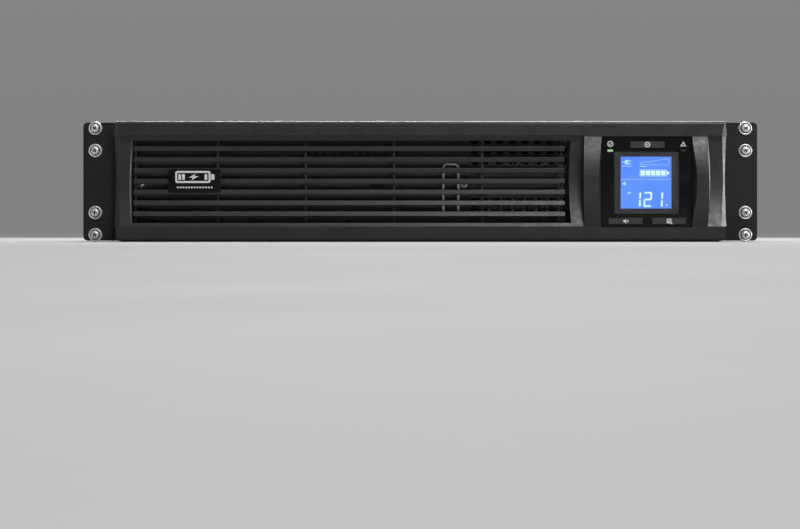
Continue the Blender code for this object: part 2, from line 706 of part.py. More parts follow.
def make_rack_screws():
    profile = [(0, 0.0036), (0.0020, 0.0034), (0.0034, 0.0022), (0.0036, 0.0010)]
    profile += [(0.0048, 0.0009), (0.00485, 0), (0.0029, 0), (0.0029, -0.0150), (0, -0.0160)]
    for side, word in ((-1, "left"), (1, "right")):
        for count, rise in enumerate(RACK_HOLE_RISES, 1):
            place = (side * RACK_HOLE_SPAN / 2, EAR_FRONT - GAP, MID_HEIGHT + rise)
            turned(f"rack_screw_{word}_{count}", profile, "-Y", place, "nickel", 12)


def make_divider():
    """The upright sheet between the battery bay and the electronics."""
    left, right = DIVIDER_X, DIVIDER_X + SHEET
    outline = [(left, 0.0015), (right + 0.009, 0.0015), (right + 0.009, 0.0015 + SHEET)]
    outline += [(right, 0.0015 + SHEET), (right, HEIGHT - SHEET - GAP), (left, HEIGHT - SHEET - GAP)]
    divider = extrude("bay_divider", [outline], CHASSIS_FRONT + 0.0015, 0.150, "Y", "bare_steel")
    vents = [rounded(y - 0.014, 0.055, y + 0.014, 0.070, 0.004) for y in (0.015, 0.055, 0.095)]
    cut(divider, extrude("divider_vents", vents, left - 0.01, right + 0.005, "X"))


def make_rear_panel():
    outlines = [rectangle(-0.2145, 0.0004, 0.2145, HEIGHT - SHEET - GAP)]
    outlines.append(circle(FAN_X, MID_HEIGHT, 0.0375, 28))
    outlines.append(about(INLET_X, INLET_Z, 0.0276, 0.0206))
    outlines.append(circle(BREAKER_X, BREAKER_Z, 0.0063, 16))
    outlines.append(about(USB_X, PORT_Z, 0.0126, 0.0116))
    outlines.append(about(NETWORK_X, PORT_Z, 0.0166, 0.0146))
    outlines.append(circle(GROUND_X, GROUND_Z, 0.0024, 12))
    for z in OUTLET_ROWS.values():
        outlines.append(about(OUTLET_X, z, 0.1046, 0.0276))
    for z in (0.0180, 0.0260, 0.0340, 0.0420):
        outlines += vent_row(-0.040, z, 6)
    extrude("rear_panel", outlines, CHASSIS_BACK - SHEET, CHASSIS_BACK, "Y", "black_steel")


def make_drawer_guide():
    """A rail on the floor that the drawer runs against."""
    outline = [(-0.2126, 0.0016), (-0.2040, 0.0016), (-0.2040, 0.0040), (-0.2114, 0.0040)]
    outline += [(-0.2114, 0.0150), (-0.2126, 0.0150)]
    extrude("drawer_guide", [outline], -0.1660, 0.1400, "Y", "bare_steel")


# ---------------------------------------------------------------- battery drawer


def make_door():
    """The drawer's front plate, with small vents, clip notches and holes for its screws."""
    outlines = [rounded(DOOR_LEFT, DOOR_LOW, DOOR_RIGHT, DOOR_HIGH, 0.0015, 2)]
    outlines += [circle(-0.0810 + 0.0063 * i, 0.0636, 0.0018, 8) for i in range(11)]
    outlines += [about(x, 0.0146, 0.0060, 0.0022) for x in (-0.1890, -0.0496)]
    outlines.append(about(-0.0313, 0.0400, 0.0107, 0.0022))
    outlines += [circle(x, DOOR_SCREW_Z, 0.0022, 12) for x in DOOR_SCREWS.values()]
    door = extrude("battery_door", outlines, DOOR_FRONT, DOOR_FRONT + SHEET, "Y", "black_steel")
    low, high = (-0.2066, DOOR_FRONT + 0.0006, 0.0032), (-0.0134, DOOR_FRONT + 0.0105, 0.0040)
    join(door, box("door_fold", low, high))


def make_door_fittings():
    profile = [(0, 0.0024), (0.0022, 0.0022), (0.0034, 0.0012), (0.0036, 0), (0.0018, 0)]
    profile += [(0.0018, -0.0035), (0, -0.0040)]
    for word, x in DOOR_SCREWS.items():
        place = (x, DOOR_FRONT - GAP, DOOR_SCREW_Z)
        turned(f"door_screw_{word}", profile, "-Y", place, "nickel", 12)
    left, right, low, high, bend = 0.0164, 0.0272, 0.0190, 0.0554, 0.0026
    reach = DOOR_FRONT - 0.0048
    half = [(left, DOOR_FRONT - GAP, low), (left, reach + bend, low), (left, reach, low + bend)]
    half += [(left, reach, high - bend), (left + bend, reach, high)]
    other = [(left + right - x, y, z) for x, y, z in reversed(half)]
    tube("door_handle", half + other, 0.0011, "nickel", 1)


def make_battery_tray():
    """The drawer's pan: a floor with a low wall on both sides and at the back."""
    rise = 0.0160
    front, back = DOOR_FRONT + SHEET + GAP, TRAY_BACK
    outer = box("battery_tray", (TRAY_LEFT, front, TRAY_FLOOR), (TRAY_RIGHT, back, rise), "bare_steel")
    inner = box(
        "tray_hollow",
        (TRAY_LEFT + SHEET, front - 0.01, TRAY_FLOOR + SHEET),
        (TRAY_RIGHT - SHEET, back - SHEET, rise + 0.01),
    )
    cut(outer, inner)


def make_batteries():
    width, length, height = BATTERY
    floor = TRAY_FLOOR + SHEET + GAP
    count = 0
    for column in range(2):
        for row in range(2):
            count += 1
            left = BATTERY_LEFT + column * (width + 0.001)
            front = BATTERY_FRONT + row * (length + 0.001)
            low = (left, front, floor)
            name = f"battery_{count}"
            battery = box(name, low, (left + width, front + length, floor + height), "battery_plastic")
            lid = box(
                name + "_lid_groove",
                (left - 0.01, front + 0.012, floor - 0.01),
                (left + width + 0.01, front + 0.0132, floor + height + 0.01),
            )
            core = box(
                name + "_core",
                (left + 0.0008, front + 0.001, floor + 0.0008),
                (left + width - 0.0008, front + length - 0.001, floor + height - 0.0008),
            )
            cut(lid, core)
            cut(battery, lid)


def make_battery_wiring():
    """The pack's lead, its plug, and the socket that the plug leaves when the drawer is pulled."""
    side = BATTERY_LEFT + 2 * BATTERY[0] + 0.001 + GAP
    z, mate, bend = 0.050, PLUG_MATING_Y, 0.0105
    back = mate - 0.026
    box("battery_plug", (0.005, back, z - 0.010), (0.027, mate, z + 0.010), "matte_red", 0.0012)
    low, high = (0.003, mate + GAP, z - 0.012), (0.029, mate + 0.024, z + 0.012)
    socket = box("battery_socket", low, high, "battery_plastic")
    low, high = (0.028, mate + 0.006, z - 0.008), (DIVIDER_X - GAP, mate + 0.018, z + 0.008)
    join(socket, box("socket_foot", low, high))
    left, entry = -0.0055, back - GAP
    path = [(side, -0.100, z), (side + 0.003, -0.1003, z), (left - 0.001, -0.1035, z), (left, -0.108, z)]
    path += [(left, -0.118, z), (left, -0.130, z), (left, -0.142, z), (left, -0.154, z)]
    path += [(x, y, z) for x, y in arc(left + bend, -0.156, bend, 180, 360, 10)]
    path += [(left + 2 * bend, (entry - 0.156) / 2, z), (left + 2 * bend, entry, z)]
    tube("battery_leads", path, 0.0021, "matte_red", 2)


# ---------------------------------------------------------------- electronics


def make_boards():
    left, near, right, far = BOARD
    box("main_board", (left, near, BOARD_Z), (right, far, BOARD_Z + 0.0016), "board_green")
    top = BOARD_Z + 0.0016 + GAP
    for count, x in ((1, 0.1380), (2, 0.1680)):
        profile = [(0, 0.042), (0.0110, 0.042), (0.0125, 0.0408), (0.0125, 0.0010), (0.0115, 0), (0, 0)]
        turned(f"capacitor_{count}", profile, "+Z", (x, -0.110, top), "battery_plastic", 16)
    box("output_relay", (0.1350, -0.070, top), (0.1630, -0.046, top + 0.026), "charcoal_plastic", 0.0008)


def make_heat_sink():
    """A finned extrusion standing on the main board."""
    left, right, low, top = 0.050, 0.112, BOARD_Z + 0.0016 + GAP, 0.062
    fins, fin, base = 8, 0.0022, 0.0050
    pitch = (right - left - fin) / (fins - 1)
    outline = [(right, low), (right, top)]
    for i in reversed(range(fins)):
        x = left + i * pitch
        if i < fins - 1:
            outline += [(x + fin, low + base), (x + fin, top)]
        outline += [(x, top)]
        if i:
            outline += [(x, low + base)]
    outline += [(left, low)]
    extrude("heat_sink", [outline], -0.142, -0.042, "Y", "aluminium")


def make_transformer():
    """Laminated core with two windows, a winding round its middle leg, and a cradle over the top."""
    half, leg, window = CORE_WIDTH / 2, 0.014, (0.014, 0.042)
    low, high = CORE_LOW, CORE_LOW + CORE_HEIGHT
    middle = CORE_X
    outlines = [rectangle(middle - half, low, middle + half, high)]
    window_low = low + leg
    for side in (-1, 1):
        near, far = sorted((middle + side * leg, middle + side * (leg + window[0])))
        outlines.append(rectangle(near, window_low, far, window_low + window[1]))
    near, far = CORE_Y - CORE_STACK / 2, CORE_Y + CORE_STACK / 2
    extrude("transformer_core", outlines, near, far, "Y", "bare_steel")
    reach = leg + window[0] - GAP
    outer = rounded(middle - reach, near - 0.0125, middle + reach, far + 0.0125, 0.010, 4)
    inner = rectangle(middle - leg - GAP, near - GAP, middle + leg + GAP, far + GAP)
    top = window_low + window[1] - GAP
    extrude("transformer_winding", [outer, inner], window_low + GAP, top, "Z", "copper")
    out, sheet, foot = half + GAP, 0.0015, 0.007
    strap = [(middle - out - foot, low), (middle - out, low), (middle - out, high + GAP)]
    strap += [(middle + out, high + GAP), (middle + out, low), (middle + out + foot, low)]
    strap += [(middle + out + foot, low + sheet), (middle + out + sheet, low + sheet)]
    strap += [(middle + out + sheet, high + GAP + sheet), (middle - out - sheet, high + GAP + sheet)]
    strap += [(middle - out - sheet, low + sheet), (middle - out - foot, low + sheet)]
    extrude("transformer_cradle", [strap], CORE_Y - 0.014, CORE_Y + 0.014, "Y", "black_steel")


def make_fan():
    """A square fan: its frame holds the motor on three arms, and the rotor turns behind them."""
    x, z, half = FAN_X, MID_HEIGHT, FAN_SIZE / 2
    front = FAN_BACK - FAN_DEPTH
    outlines = [rounded(x - half, z - half, x + half, z + half, 0.004, 2), circle(x, z, 0.0380, 28)]
    housing = extrude("fan_housing", outlines, front, FAN_BACK, "Y", "charcoal_plastic")
    hub = extrude("fan_motor", [circle(x, z, 0.0160, 20)], front + 0.0002, front + 0.004, "Y")
    join(housing, hub)
    for turn in (90, 210, 330):
        arm = box(f"fan_arm_{turn}", (0.0140, 0.0004, -0.0020), (0.0390, 0.0036, 0.0020))
        arm.rotation_euler = (0, math.radians(turn), 0)
        arm.location = (x, front, z)
        join(housing, arm)
    profile = [(0, 0.0165), (0.0140, 0.0165), (0.0160, 0.0150), (0.0160, 0), (0, 0)]
    rotor = turned("fan_rotor", profile, "+Y", (x, front + 0.0045, z), "charcoal_plastic", 20)
    for blade in range(7):
        vane = box(f"fan_blade_{blade}", (0.0150, -0.0080, -0.0006), (0.0360, 0.0080, 0.0006))
        spin = Matrix.Rotation(math.radians(blade * 360 / 7), 4, "Y")
        pitch = Matrix.Rotation(math.radians(48), 4, "X")
        vane.matrix_world = Matrix.Translation((x, front + 0.0128, z)) @ spin @ pitch
        join(rotor, vane)


def make_fan_guard():
    """A pressed guard: rings and four spokes, outside the rear panel."""
    x, z, back = FAN_X, MID_HEIGHT, CHASSIS_BACK + GAP
    outlines = [rounded(x - 0.0395, z - 0.0395, x + 0.0395, z + 0.0395, 0.005, 3)]
    for inner, outer in ((0.0115, 0.0170), (0.0190, 0.0245), (0.0265, 0.0320), (0.0340, 0.0375)):
        for quarter in range(4):
            start, end = quarter * 90 + 45, quarter * 90 + 135
            steps = 3 if outer < 0.02 else 4
            near, far = (math.degrees(math.asin(0.0014 / radius)) for radius in (outer, inner))
            ring = arc(x, z, outer, start + near, end - near, steps)
            ring += arc(x, z, inner, end - far, start + far, steps)
            outlines.append(ring)
    extrude("fan_guard", outlines, back, back + 0.0012, "Y", "nickel")


# ---------------------------------------------------------------- connections at the back


def make_inlet():
    """The mains inlet: a keyed well with three blades."""
    x, z, back = INLET_X, INLET_Z, CHASSIS_BACK
    body = about(x, z, 0.0270, 0.0200)
    inlet = extrude("power_inlet", [body], back - 0.0200, back + 0.002, "Y", "charcoal_plastic")
    face = rounded(x - 0.0165, z - 0.0120, x + 0.0165, z + 0.0120, 0.002, 2)
    join(inlet, extrude("inlet_face", [face], back + GAP, back + 0.0022, "Y"))
    left, right, low, high, key = x - 0.0118, x + 0.0118, z - 0.0082, z + 0.0082, 0.005
    well = [(left, low), (right, low), (right, high - key), (right - key, high)]
    well += [(left + key, high), (left, high - key)]
    cutter = extrude("inlet_well", [well], back - 0.0150, back + 0.01, "Y")
    blades = []
    for dx, dz in ((-0.0070, -0.0025), (0.0070, -0.0025), (0.0, 0.0025)):
        low_corner = (x + dx - 0.0010, back - 0.020, z + dz - 0.0020)
        blades.append((low_corner, (x + dx + 0.0010, back - 0.0025, z + dz + 0.0020)))
    cut(cutter, boxes("inlet_blades", blades))
    cut(inlet, cutter)


def outlet_holes(x, z):
    """Two blade slots over an earth hole with a round foot."""
    radius, head = 0.0024, z - 0.0052
    earth = arc(x, z - 0.0075, radius, 180, 360, 5) + [(x + radius, head), (x - radius, head)]
    blades = [about(x - 0.0064, z + 0.0030, 0.0022, 0.0080)]
    blades.append(about(x + 0.0064, z + 0.0030, 0.0022, 0.0070))
    return [*blades, earth]


def outlet_rim(x, z):
    """A groove round one outlet: an outline and the one inside it."""
    groove, width, height, corner = 0.0008, 0.0160, 0.0130, 0.0050
    rim = rounded(x - width, z - height, x + width, z + height, corner, 2)
    width, height = width - groove, height - groove
    return [rim, rounded(x - width, z - height, x + width, z + height, corner - groove, 2)]


def make_outlets():
    """Two banks of three outlets."""
    back = CHASSIS_BACK
    columns = [OUTLET_X + column * OUTLET_PITCH for column in (-1, 0, 1)]
    for name, z in OUTLET_ROWS.items():
        body = about(OUTLET_X, z, 0.1040, 0.0270)
        bank = extrude(name, [body], back - 0.018, back + 0.0012, "Y", "charcoal_plastic")
        face = rounded(OUTLET_X - 0.0545, z - 0.0155, OUTLET_X + 0.0545, z + 0.0155, 0.002, 2)
        join(bank, extrude(name + "_face", [face], back + GAP, back + 0.0014, "Y"))
        holes = [outline for x in columns for outline in outlet_holes(x, z)]
        cut(bank, extrude(name + "_slots", holes, back - 0.012, back + 0.01, "Y"))
        rims = [outline for x in columns for outline in outlet_rim(x, z)]
        cut(bank, extrude(name + "_rims", rims, back + 0.0008, back + 0.01, "Y"))


def make_ports():
    """The two data ports, each an open box with its contact tongue or a plain well."""
    back, out, clear = CHASSIS_BACK, CHASSIS_BACK + 0.0008, CHASSIS_BACK + 0.01
    body, hollow, tongue = (about(USB_X, PORT_Z, *size) for size in USB_SIZES)
    usb = extrude("usb_port", [body], back - 0.015, out, "Y", "bare_steel")
    well = extrude("usb_well", [hollow], back - 0.0120, clear, "Y")
    cut(well, extrude("usb_tongue", [tongue], back - 0.02, back - 0.002, "Y"))
    cut(usb, well)
    body, hollow = (about(NETWORK_X, PORT_Z, *size) for size in NETWORK_SIZES)
    port = extrude("network_port", [body], back - 0.018, out, "Y", "charcoal_plastic")
    cut(port, extrude("network_well", [hollow], back - 0.0150, clear, "Y"))


def make_breaker_and_ground():
    back = CHASSIS_BACK
    x, z = BREAKER_X, BREAKER_Z
    profile = [(0, -0.0200), (0.0042, -0.0200), (0.0042, 0.0020), (0.0080, 0.0020)]
    profile += [(0.0086, 0.0014), (0.0086, GAP), (0.0060, GAP), (0.0060, -0.0240), (0, -0.0240)]
    turned("breaker_body", profile, "+Y", (x, back, z), "charcoal_plastic", 16)
    cap = [(0, 0.0034), (0.0030, 0.0034), (0.0036, 0.0028), (0.0036, -0.0120), (0, -0.0120)]
    turned("breaker_button", cap, "+Y", (x, back, z), "charcoal_plastic", 16)
    ground = [(0, 0.0035), (0.0030, 0.0033), (0.0040, 0.0020), (0.0042, GAP), (0.0020, GAP)]
    ground += [(0.0020, -0.0060), (0, -0.0066)]
    turned("ground_screw", ground, "+Y", (GROUND_X, back, GROUND_Z), "nickel", 16)


def main():
    make_bezel()
    make_louvre()
    make_badge()
    make_display_housing()
    make_display_inside()
    make_buttons()
    make_tray()
    make_cover()
    make_front_frame()
    make_ear(-1)
    make_ear(1)
    make_rack_screws()
    make_divider()
    make_rear_panel()
    make_drawer_guide()
    make_door()
    make_door_fittings()
    make_battery_tray()
    make_batteries()
    make_battery_wiring()
    make_boards()
    make_heat_sink()
    make_transformer()
    make_fan()
    make_fan_guard()
    make_inlet()
    make_outlets()
    make_ports()
    make_breaker_and_ground()


main()
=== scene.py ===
"""The looks of a rack-mount uninterruptible power supply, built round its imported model.

Metres, +Z up. The front faces -Y and +X is to the right of someone facing it.
"""
import json
import math
import random

import bmesh  # noqa: E402
import bpy  # noqa: E402
from mathutils import Matrix, Vector  # noqa: E402


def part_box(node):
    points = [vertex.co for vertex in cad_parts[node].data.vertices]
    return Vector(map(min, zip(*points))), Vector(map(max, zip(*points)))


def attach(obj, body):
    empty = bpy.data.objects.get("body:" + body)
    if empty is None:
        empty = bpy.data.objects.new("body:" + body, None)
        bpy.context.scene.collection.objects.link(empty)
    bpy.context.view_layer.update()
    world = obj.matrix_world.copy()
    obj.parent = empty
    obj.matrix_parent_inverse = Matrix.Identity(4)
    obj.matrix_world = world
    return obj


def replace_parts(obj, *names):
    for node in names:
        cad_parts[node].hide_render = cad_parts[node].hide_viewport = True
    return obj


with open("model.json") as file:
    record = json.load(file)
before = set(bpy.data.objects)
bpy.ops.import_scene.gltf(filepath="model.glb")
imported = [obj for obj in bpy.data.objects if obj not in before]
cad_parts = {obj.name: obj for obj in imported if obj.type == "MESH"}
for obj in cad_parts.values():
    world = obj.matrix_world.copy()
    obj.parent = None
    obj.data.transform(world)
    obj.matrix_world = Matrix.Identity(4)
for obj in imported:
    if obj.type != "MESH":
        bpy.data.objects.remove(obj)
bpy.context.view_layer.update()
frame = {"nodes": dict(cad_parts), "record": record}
NODES = frame["nodes"]
MM = 0.001
random.seed(29)


# -------- materials


class Look:
    """A material's node tree, with short ways to add to it."""

    def __init__(self, name):
        self.material = bpy.data.materials.new(name)
        self.material.use_nodes = True
        self.tree = self.material.node_tree
        self.shader = self.tree.nodes["Principled BSDF"]
        self.place = self.add("ShaderNodeTexCoord").outputs["Object"]

    def add(self, kind, **settings):
        node = self.tree.nodes.new(kind)
        for key, value in settings.items():
            setattr(node, key, value)
        return node

    def link(self, start, end):
        self.tree.links.new(start, end)

    def set(self, **values):
        for key, value in values.items():
            self.shader.inputs[key.replace("_", " ")].default_value = value

    def stretched(self, stretch):
        node = self.add("ShaderNodeMapping")
        self.link(self.place, node.inputs["Vector"])
        node.inputs["Scale"].default_value = stretch
        return node.outputs["Vector"]

    def noise(self, size, detail=2.0, stretch=None):
        """Clouds of about this size in metres, as a value near one half."""
        node = self.add("ShaderNodeTexNoise")
        self.link(self.stretched(stretch) if stretch else self.place, node.inputs["Vector"])
        node.inputs["Scale"].default_value = 1 / size
        node.inputs["Detail"].default_value = detail
        return node.outputs["Fac"]

    def cells(self, size, kind="F1", output="Distance"):
        node = self.add("ShaderNodeTexVoronoi", feature=kind)
        self.link(self.place, node.inputs["Vector"])
        node.inputs["Scale"].default_value = 1 / size
        return node.outputs[output]

    def spread(self, value, low, high, start=0.3, end=0.7):
        """Maps start..end onto low..high, with nothing beyond them."""
        node = self.add("ShaderNodeMapRange")
        self.link(value, node.inputs["Value"])
        for key, number in (("From Min", start), ("From Max", end), ("To Min", low), ("To Max", high)):
            node.inputs[key].default_value = number
        return node.outputs["Result"]

    def blend(self, share, one, other):
        """A colour between two, each given as numbers or as a socket."""
        node = self.add("ShaderNodeMix", data_type="RGBA")
        self.link(share, node.inputs["Factor"])
        for socket, colour in ((node.inputs[6], one), (node.inputs[7], other)):
            if isinstance(colour, tuple):
                socket.default_value = (*colour, 1.0)
            else:
                self.link(colour, socket)
        return node.outputs[2]

    def total(self, one, other):
        node = self.add("ShaderNodeMath", operation="ADD")
        for socket, value in zip(node.inputs, (one, other)):
            self.link(value, socket)
        return node.outputs[0]

    def relief(self, height, depth, strength=1.0, under=None):
        node = self.add("ShaderNodeBump")
        self.link(height, node.inputs["Height"])
        node.inputs["Distance"].default_value = depth
        node.inputs["Strength"].default_value = strength
        if under is not None:
            self.link(under, node.inputs["Normal"])
        self.link(node.outputs["Normal"], self.shader.inputs["Normal"])
        return node.outputs["Normal"]

    def colour(self, socket):
        self.link(socket, self.shader.inputs["Base Color"])

    def roughness(self, socket):
        self.link(socket, self.shader.inputs["Roughness"])


def shade(colour, share):
    return tuple(min(1.0, c * share) for c in colour)


def moulded(name, colour, rough, grain=0.00045, depth=0.00003, mottle=0.16):
    """Plastic from a textured mould: fine grain, faint flow marks and a few paler scuffs."""
    look = Look(name)
    fine, flow = look.noise(grain, 3.0), look.noise(0.018, 3.0)
    tone = look.blend(look.spread(flow, 0, 1), shade(colour, 1 - mottle), shade(colour, 1 + mottle))
    speck = look.blend(look.spread(fine, 0, 1, 0.56, 0.72), tone, shade(colour, 1.5))
    scuff = look.noise(0.006, 5.0, (1.0, 1.0, 3.0))
    look.colour(look.blend(look.spread(scuff, 0, 0.5, 0.66, 0.8), speck, shade(colour, 1.8)))
    look.roughness(look.spread(look.noise(0.004, 4.0), rough - 0.06, rough + 0.07))
    look.relief(fine, depth)
    return look.material


def gloss(name, colour, rough, specular):
    """Polished plastic with a light dusting and hairline scratches."""
    look = Look(name)
    look.set(Specular_IOR_Level=specular)
    dust = look.noise(0.0009, 2.0)
    film = look.noise(0.014, 4.0)
    tone = look.blend(look.spread(film, 0, 1), colour, shade(colour, 1.5))
    look.colour(look.blend(look.spread(dust, 0, 0.5, 0.68, 0.78), tone, (0.05, 0.05, 0.05)))
    hair = look.noise(0.0012, 2.0, (1.0, 1.0, 14.0))
    worn = look.spread(film, rough - 0.03, rough + 0.05)
    look.roughness(look.total(worn, look.spread(hair, 0, 0.1, 0.62, 0.7)))
    look.relief(look.noise(0.008, 2.0), 0.00001, 0.4)
    return look.material


def powder(name, colour, rough, specular):
    """Powder-coated sheet steel: a fine orange-peel with a faint sparkle in the finish."""
    look = Look(name)
    look.set(Specular_IOR_Level=specular)
    peel, fine = look.noise(0.0011, 3.0), look.noise(0.0004, 2.0)
    tone = look.blend(look.spread(look.noise(0.03, 3.0), 0, 1), shade(colour, 0.85), shade(colour, 1.15))
    look.colour(look.blend(look.spread(fine, 0, 0.8, 0.58, 0.7), tone, shade(colour, 1.7)))
    look.roughness(look.spread(peel, rough - 0.07, rough + 0.08))
    look.relief(peel, 0.00004, 0.8, look.relief(fine, 0.00002, 0.6))
    return look.material


def plated(name, colour, rough, grain=0.0006, depth=0.000006, streak=None, metallic=1.0):
    """Bare or plated metal with drawn or cast marks and duller patches."""
    look = Look(name)
    look.set(Metallic=metallic)
    marks = look.noise(grain, 3.0, streak)
    patch = look.noise(0.009, 4.0)
    tone = look.blend(look.spread(patch, 0, 1), shade(colour, 0.86), colour)
    look.colour(look.blend(look.spread(marks, 0, 0.5, 0.55, 0.75), tone, shade(colour, 0.7)))
    worn = look.spread(patch, rough - 0.03, rough + 0.06)
    look.roughness(look.total(worn, look.spread(marks, 0, 0.08)))
    look.relief(marks, depth)
    return look.material


def galvanised(name, colour):
    """Zinc-coated steel with its crystal pattern."""
    look = Look(name)
    look.set(Metallic=1.0)
    crystal = look.cells(0.007, output="Color")
    split = look.add("ShaderNodeSeparateColor")
    look.link(crystal, split.inputs["Color"])
    tone = look.blend(split.outputs[0], shade(colour, 0.72), colour)
    stain = look.noise(0.02, 4.0)
    look.colour(look.blend(look.spread(stain, 0, 0.4, 0.5, 0.75), tone, (0.30, 0.30, 0.31)))
    look.roughness(look.spread(split.outputs[1], 0.3, 0.48, 0, 1))
    look.relief(look.noise(0.0008, 2.0), 0.00001, 0.6)
    return look.material


def circuit(name, colour):
    """Solder mask over copper tracks, with a scatter of tinned pads."""
    look = Look(name)
    tracks = look.cells(0.0032, "DISTANCE_TO_EDGE")
    pads = look.cells(0.0018)
    tone = look.blend(look.spread(tracks, 1, 0, 0.03, 0.07), colour, shade(colour, 1.9))
    look.colour(look.blend(look.spread(pads, 1, 0, 0.10, 0.14), tone, (0.55, 0.56, 0.55)))
    look.roughness(look.spread(look.noise(0.003, 3.0), 0.28, 0.42))
    look.relief(tracks, 0.00003, 0.5)
    return look.material


def wound(name, colour):
    """Enamelled wire laid in rows, darker in the grooves between the turns: painted shade."""
    look = Look(name)
    wire = look.add("ShaderNodeTexWave", wave_type="BANDS", bands_direction="Z")
    look.link(look.place, wire.inputs["Vector"])
    wire.inputs["Scale"].default_value = 260
    wire.inputs["Distortion"].default_value = 0.6
    tone = look.blend(look.spread(look.noise(0.006, 3.0), 0, 1), shade(colour, 0.7), colour)
    # Shade is painted into the grooves between the turns, following the same bands as the relief
    look.colour(look.blend(look.spread(wire.outputs["Fac"], 0, 1, 0, 1), shade(colour, 0.3), tone))
    look.set(Metallic=0.6)
    look.roughness(look.spread(look.noise(0.002, 2.0), 0.3, 0.45))
    look.relief(wire.outputs["Fac"], 0.0003)
    return look.material


def printed(name, colour):
    """Opaque ink with slightly uneven cover."""
    look = Look(name)
    cover = look.noise(0.0007, 3.0)
    look.colour(look.blend(look.spread(cover, 0, 1), shade(colour, 0.86), colour))
    look.roughness(look.spread(look.noise(0.002, 3.0), 0.4, 0.55))
    look.relief(cover, 0.000006)
    return look.material


def glowing(name, colour, edge, strength, size=0.02):
    """A lit surface whose colour drifts between two tones."""
    look = Look(name)
    tone = look.blend(look.spread(look.noise(size, 1.0), 0, 1), colour, edge)
    lit = look.blend(look.spread(look.noise(0.0004, 1.0), 0, 0.12), tone, edge)
    look.link(lit, look.shader.inputs["Emission Color"])
    look.set(Emission_Strength=strength)
    look.colour(look.blend(look.spread(look.noise(size, 1.0), 0, 1), shade(colour, 0.25), shade(edge, 0.25)))
    look.roughness(look.spread(look.noise(0.002, 2.0), 0.3, 0.4))
    look.relief(look.noise(0.0004, 1.0), 0.000004)
    return look.material


def pane(name):
    """Clear polished plastic with a faint film of fingerprints."""
    look = Look(name)
    look.set(Transmission_Weight=1.0, IOR=1.46)
    look.colour(look.blend(look.spread(look.noise(0.01, 2.0), 0, 1), (0.93, 0.95, 0.97), (0.97, 0.98, 1.0)))
    look.roughness(look.spread(look.noise(0.004, 4.0), 0.015, 0.03))
    look.relief(look.noise(0.01, 2.0), 0.000001, 0.3)
    return look.material


CHARCOAL = (0.024, 0.024, 0.0255)
LOOKS = {
    "charcoal_plastic": moulded("charcoal_plastic_look", CHARCOAL, 0.36, 0.0006, 0.00004),
    "black_gloss": gloss("black_gloss_look", (0.006, 0.006, 0.007), 0.16, 0.3),
    "black_steel": powder("black_steel_look", (0.013, 0.013, 0.0145), 0.46, 0.3),
    "bare_steel": galvanised("bare_steel_look", (0.62, 0.63, 0.65)),
    "nickel": plated("nickel_look", (0.90, 0.89, 0.87), 0.32, 0.0009, 0.000001, metallic=0.65),
    "aluminium": plated("aluminium_look", (0.72, 0.73, 0.75), 0.32, 0.0009, 0.00001, (1, 0.05, 1)),
    "copper": wound("copper_look", (0.50, 0.16, 0.06)),
    "battery_plastic": moulded("battery_plastic_look", (0.036, 0.040, 0.046), 0.4, 0.0008, 0.00004),
    "board_green": circuit("board_green_look", (0.012, 0.085, 0.032)),
    "clear_window": pane("clear_window_look"),
    "display_blue": glowing("display_blue_look", (0.058, 0.188, 0.82), (0.098, 0.258, 0.91), 1.0, 0.03),
    "light_green": glowing("light_green_look", (0.34, 0.72, 0.28), (0.52, 0.86, 0.46), 0.62, 0.004),
    "matte_red": moulded("matte_red_look", (0.42, 0.022, 0.016), 0.45, 0.0006),
}
DOOR_STEEL = powder("door_steel_look", (0.060, 0.060, 0.062), 0.48, 0.4)
WHITE_INK = printed("white_ink_look", (0.86, 0.87, 0.86))
DARK_FILM = printed("dark_film_look", (0.012, 0.012, 0.013))
KEY_FACE = moulded("key_face_look", (0.040, 0.040, 0.042), 0.34, 0.0005, 0.00001, 0.06)
LIT_MARK = glowing("lit_mark_look", (0.60, 0.83, 1.0), (0.72, 0.93, 1.0), 1.0, 0.006)
FAINT_MARK = glowing("faint_mark_look", (0.36, 0.58, 1.0), (0.46, 0.68, 1.0), 1.0, 0.006)
# A dark plated look that paints shade into screw recesses, washer grooves and vent openings
HOLLOW_SHADE = plated("hollow_shade_look", (0.05, 0.05, 0.05), 0.6, metallic=0.5)
PAPER = printed("paper_look", (0.62, 0.63, 0.62))
LABEL_GREEN = printed("label_green_look", (0.03, 0.30, 0.13))
LABEL_DARK = printed("label_dark_look", (0.03, 0.03, 0.035))
BLACK_ZINC = plated("black_zinc_look", (0.10, 0.10, 0.105), 0.42, metallic=0.7)
UNLIT = moulded("unlit_light_look", (0.045, 0.045, 0.046), 0.25, 0.0006, 0.00001)


# -------- shapes


def keep(name, mesh, body, look, hollow=None):
    """A shown piece of this mesh that moves with a body. Its hollows can have a look of their own, which
    paints shade into them.
    """
    obj = loose(name, mesh)
    marks = [face.material_index for face in mesh.polygons]
    obj.data.materials.clear()
    obj.data.materials.append(look)
    if hollow:
        obj.data.materials.append(hollow)
        obj.data.polygons.foreach_set("material_index", [min(mark, 1) for mark in marks])
    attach(obj, body)
    return obj


def evaluated(obj):
    """The object's mesh with its modifiers applied. The object is removed."""
    graph = bpy.context.evaluated_depsgraph_get()
    graph.update()
    mesh = bpy.data.meshes.new_from_object(obj.evaluated_get(graph))
    bpy.data.objects.remove(obj, do_unlink=True)
    return mesh


def loose(name, mesh):
    obj = bpy.data.objects.new(name, mesh)
    bpy.context.scene.collection.objects.link(obj)
    return obj


def smooth(mesh, angle=35):
    for face in mesh.polygons:
        face.use_smooth = True
    mesh.set_sharp_from_angle(angle=math.radians(angle))
    return mesh


def arc(u, v, radius, start, end, steps):
    angles = [math.radians(start + (end - start) * i / steps) for i in range(steps + 1)]
    return [(u + radius * math.cos(a), v + radius * math.sin(a)) for a in angles]


def ring(u, v, radius, sides=32):
    return arc(u, v, radius, 0, 360 * (sides - 1) / sides, sides - 1)


def rectangle(left, low, right, high):
    return [(left, low), (right, low), (right, high), (left, high)]


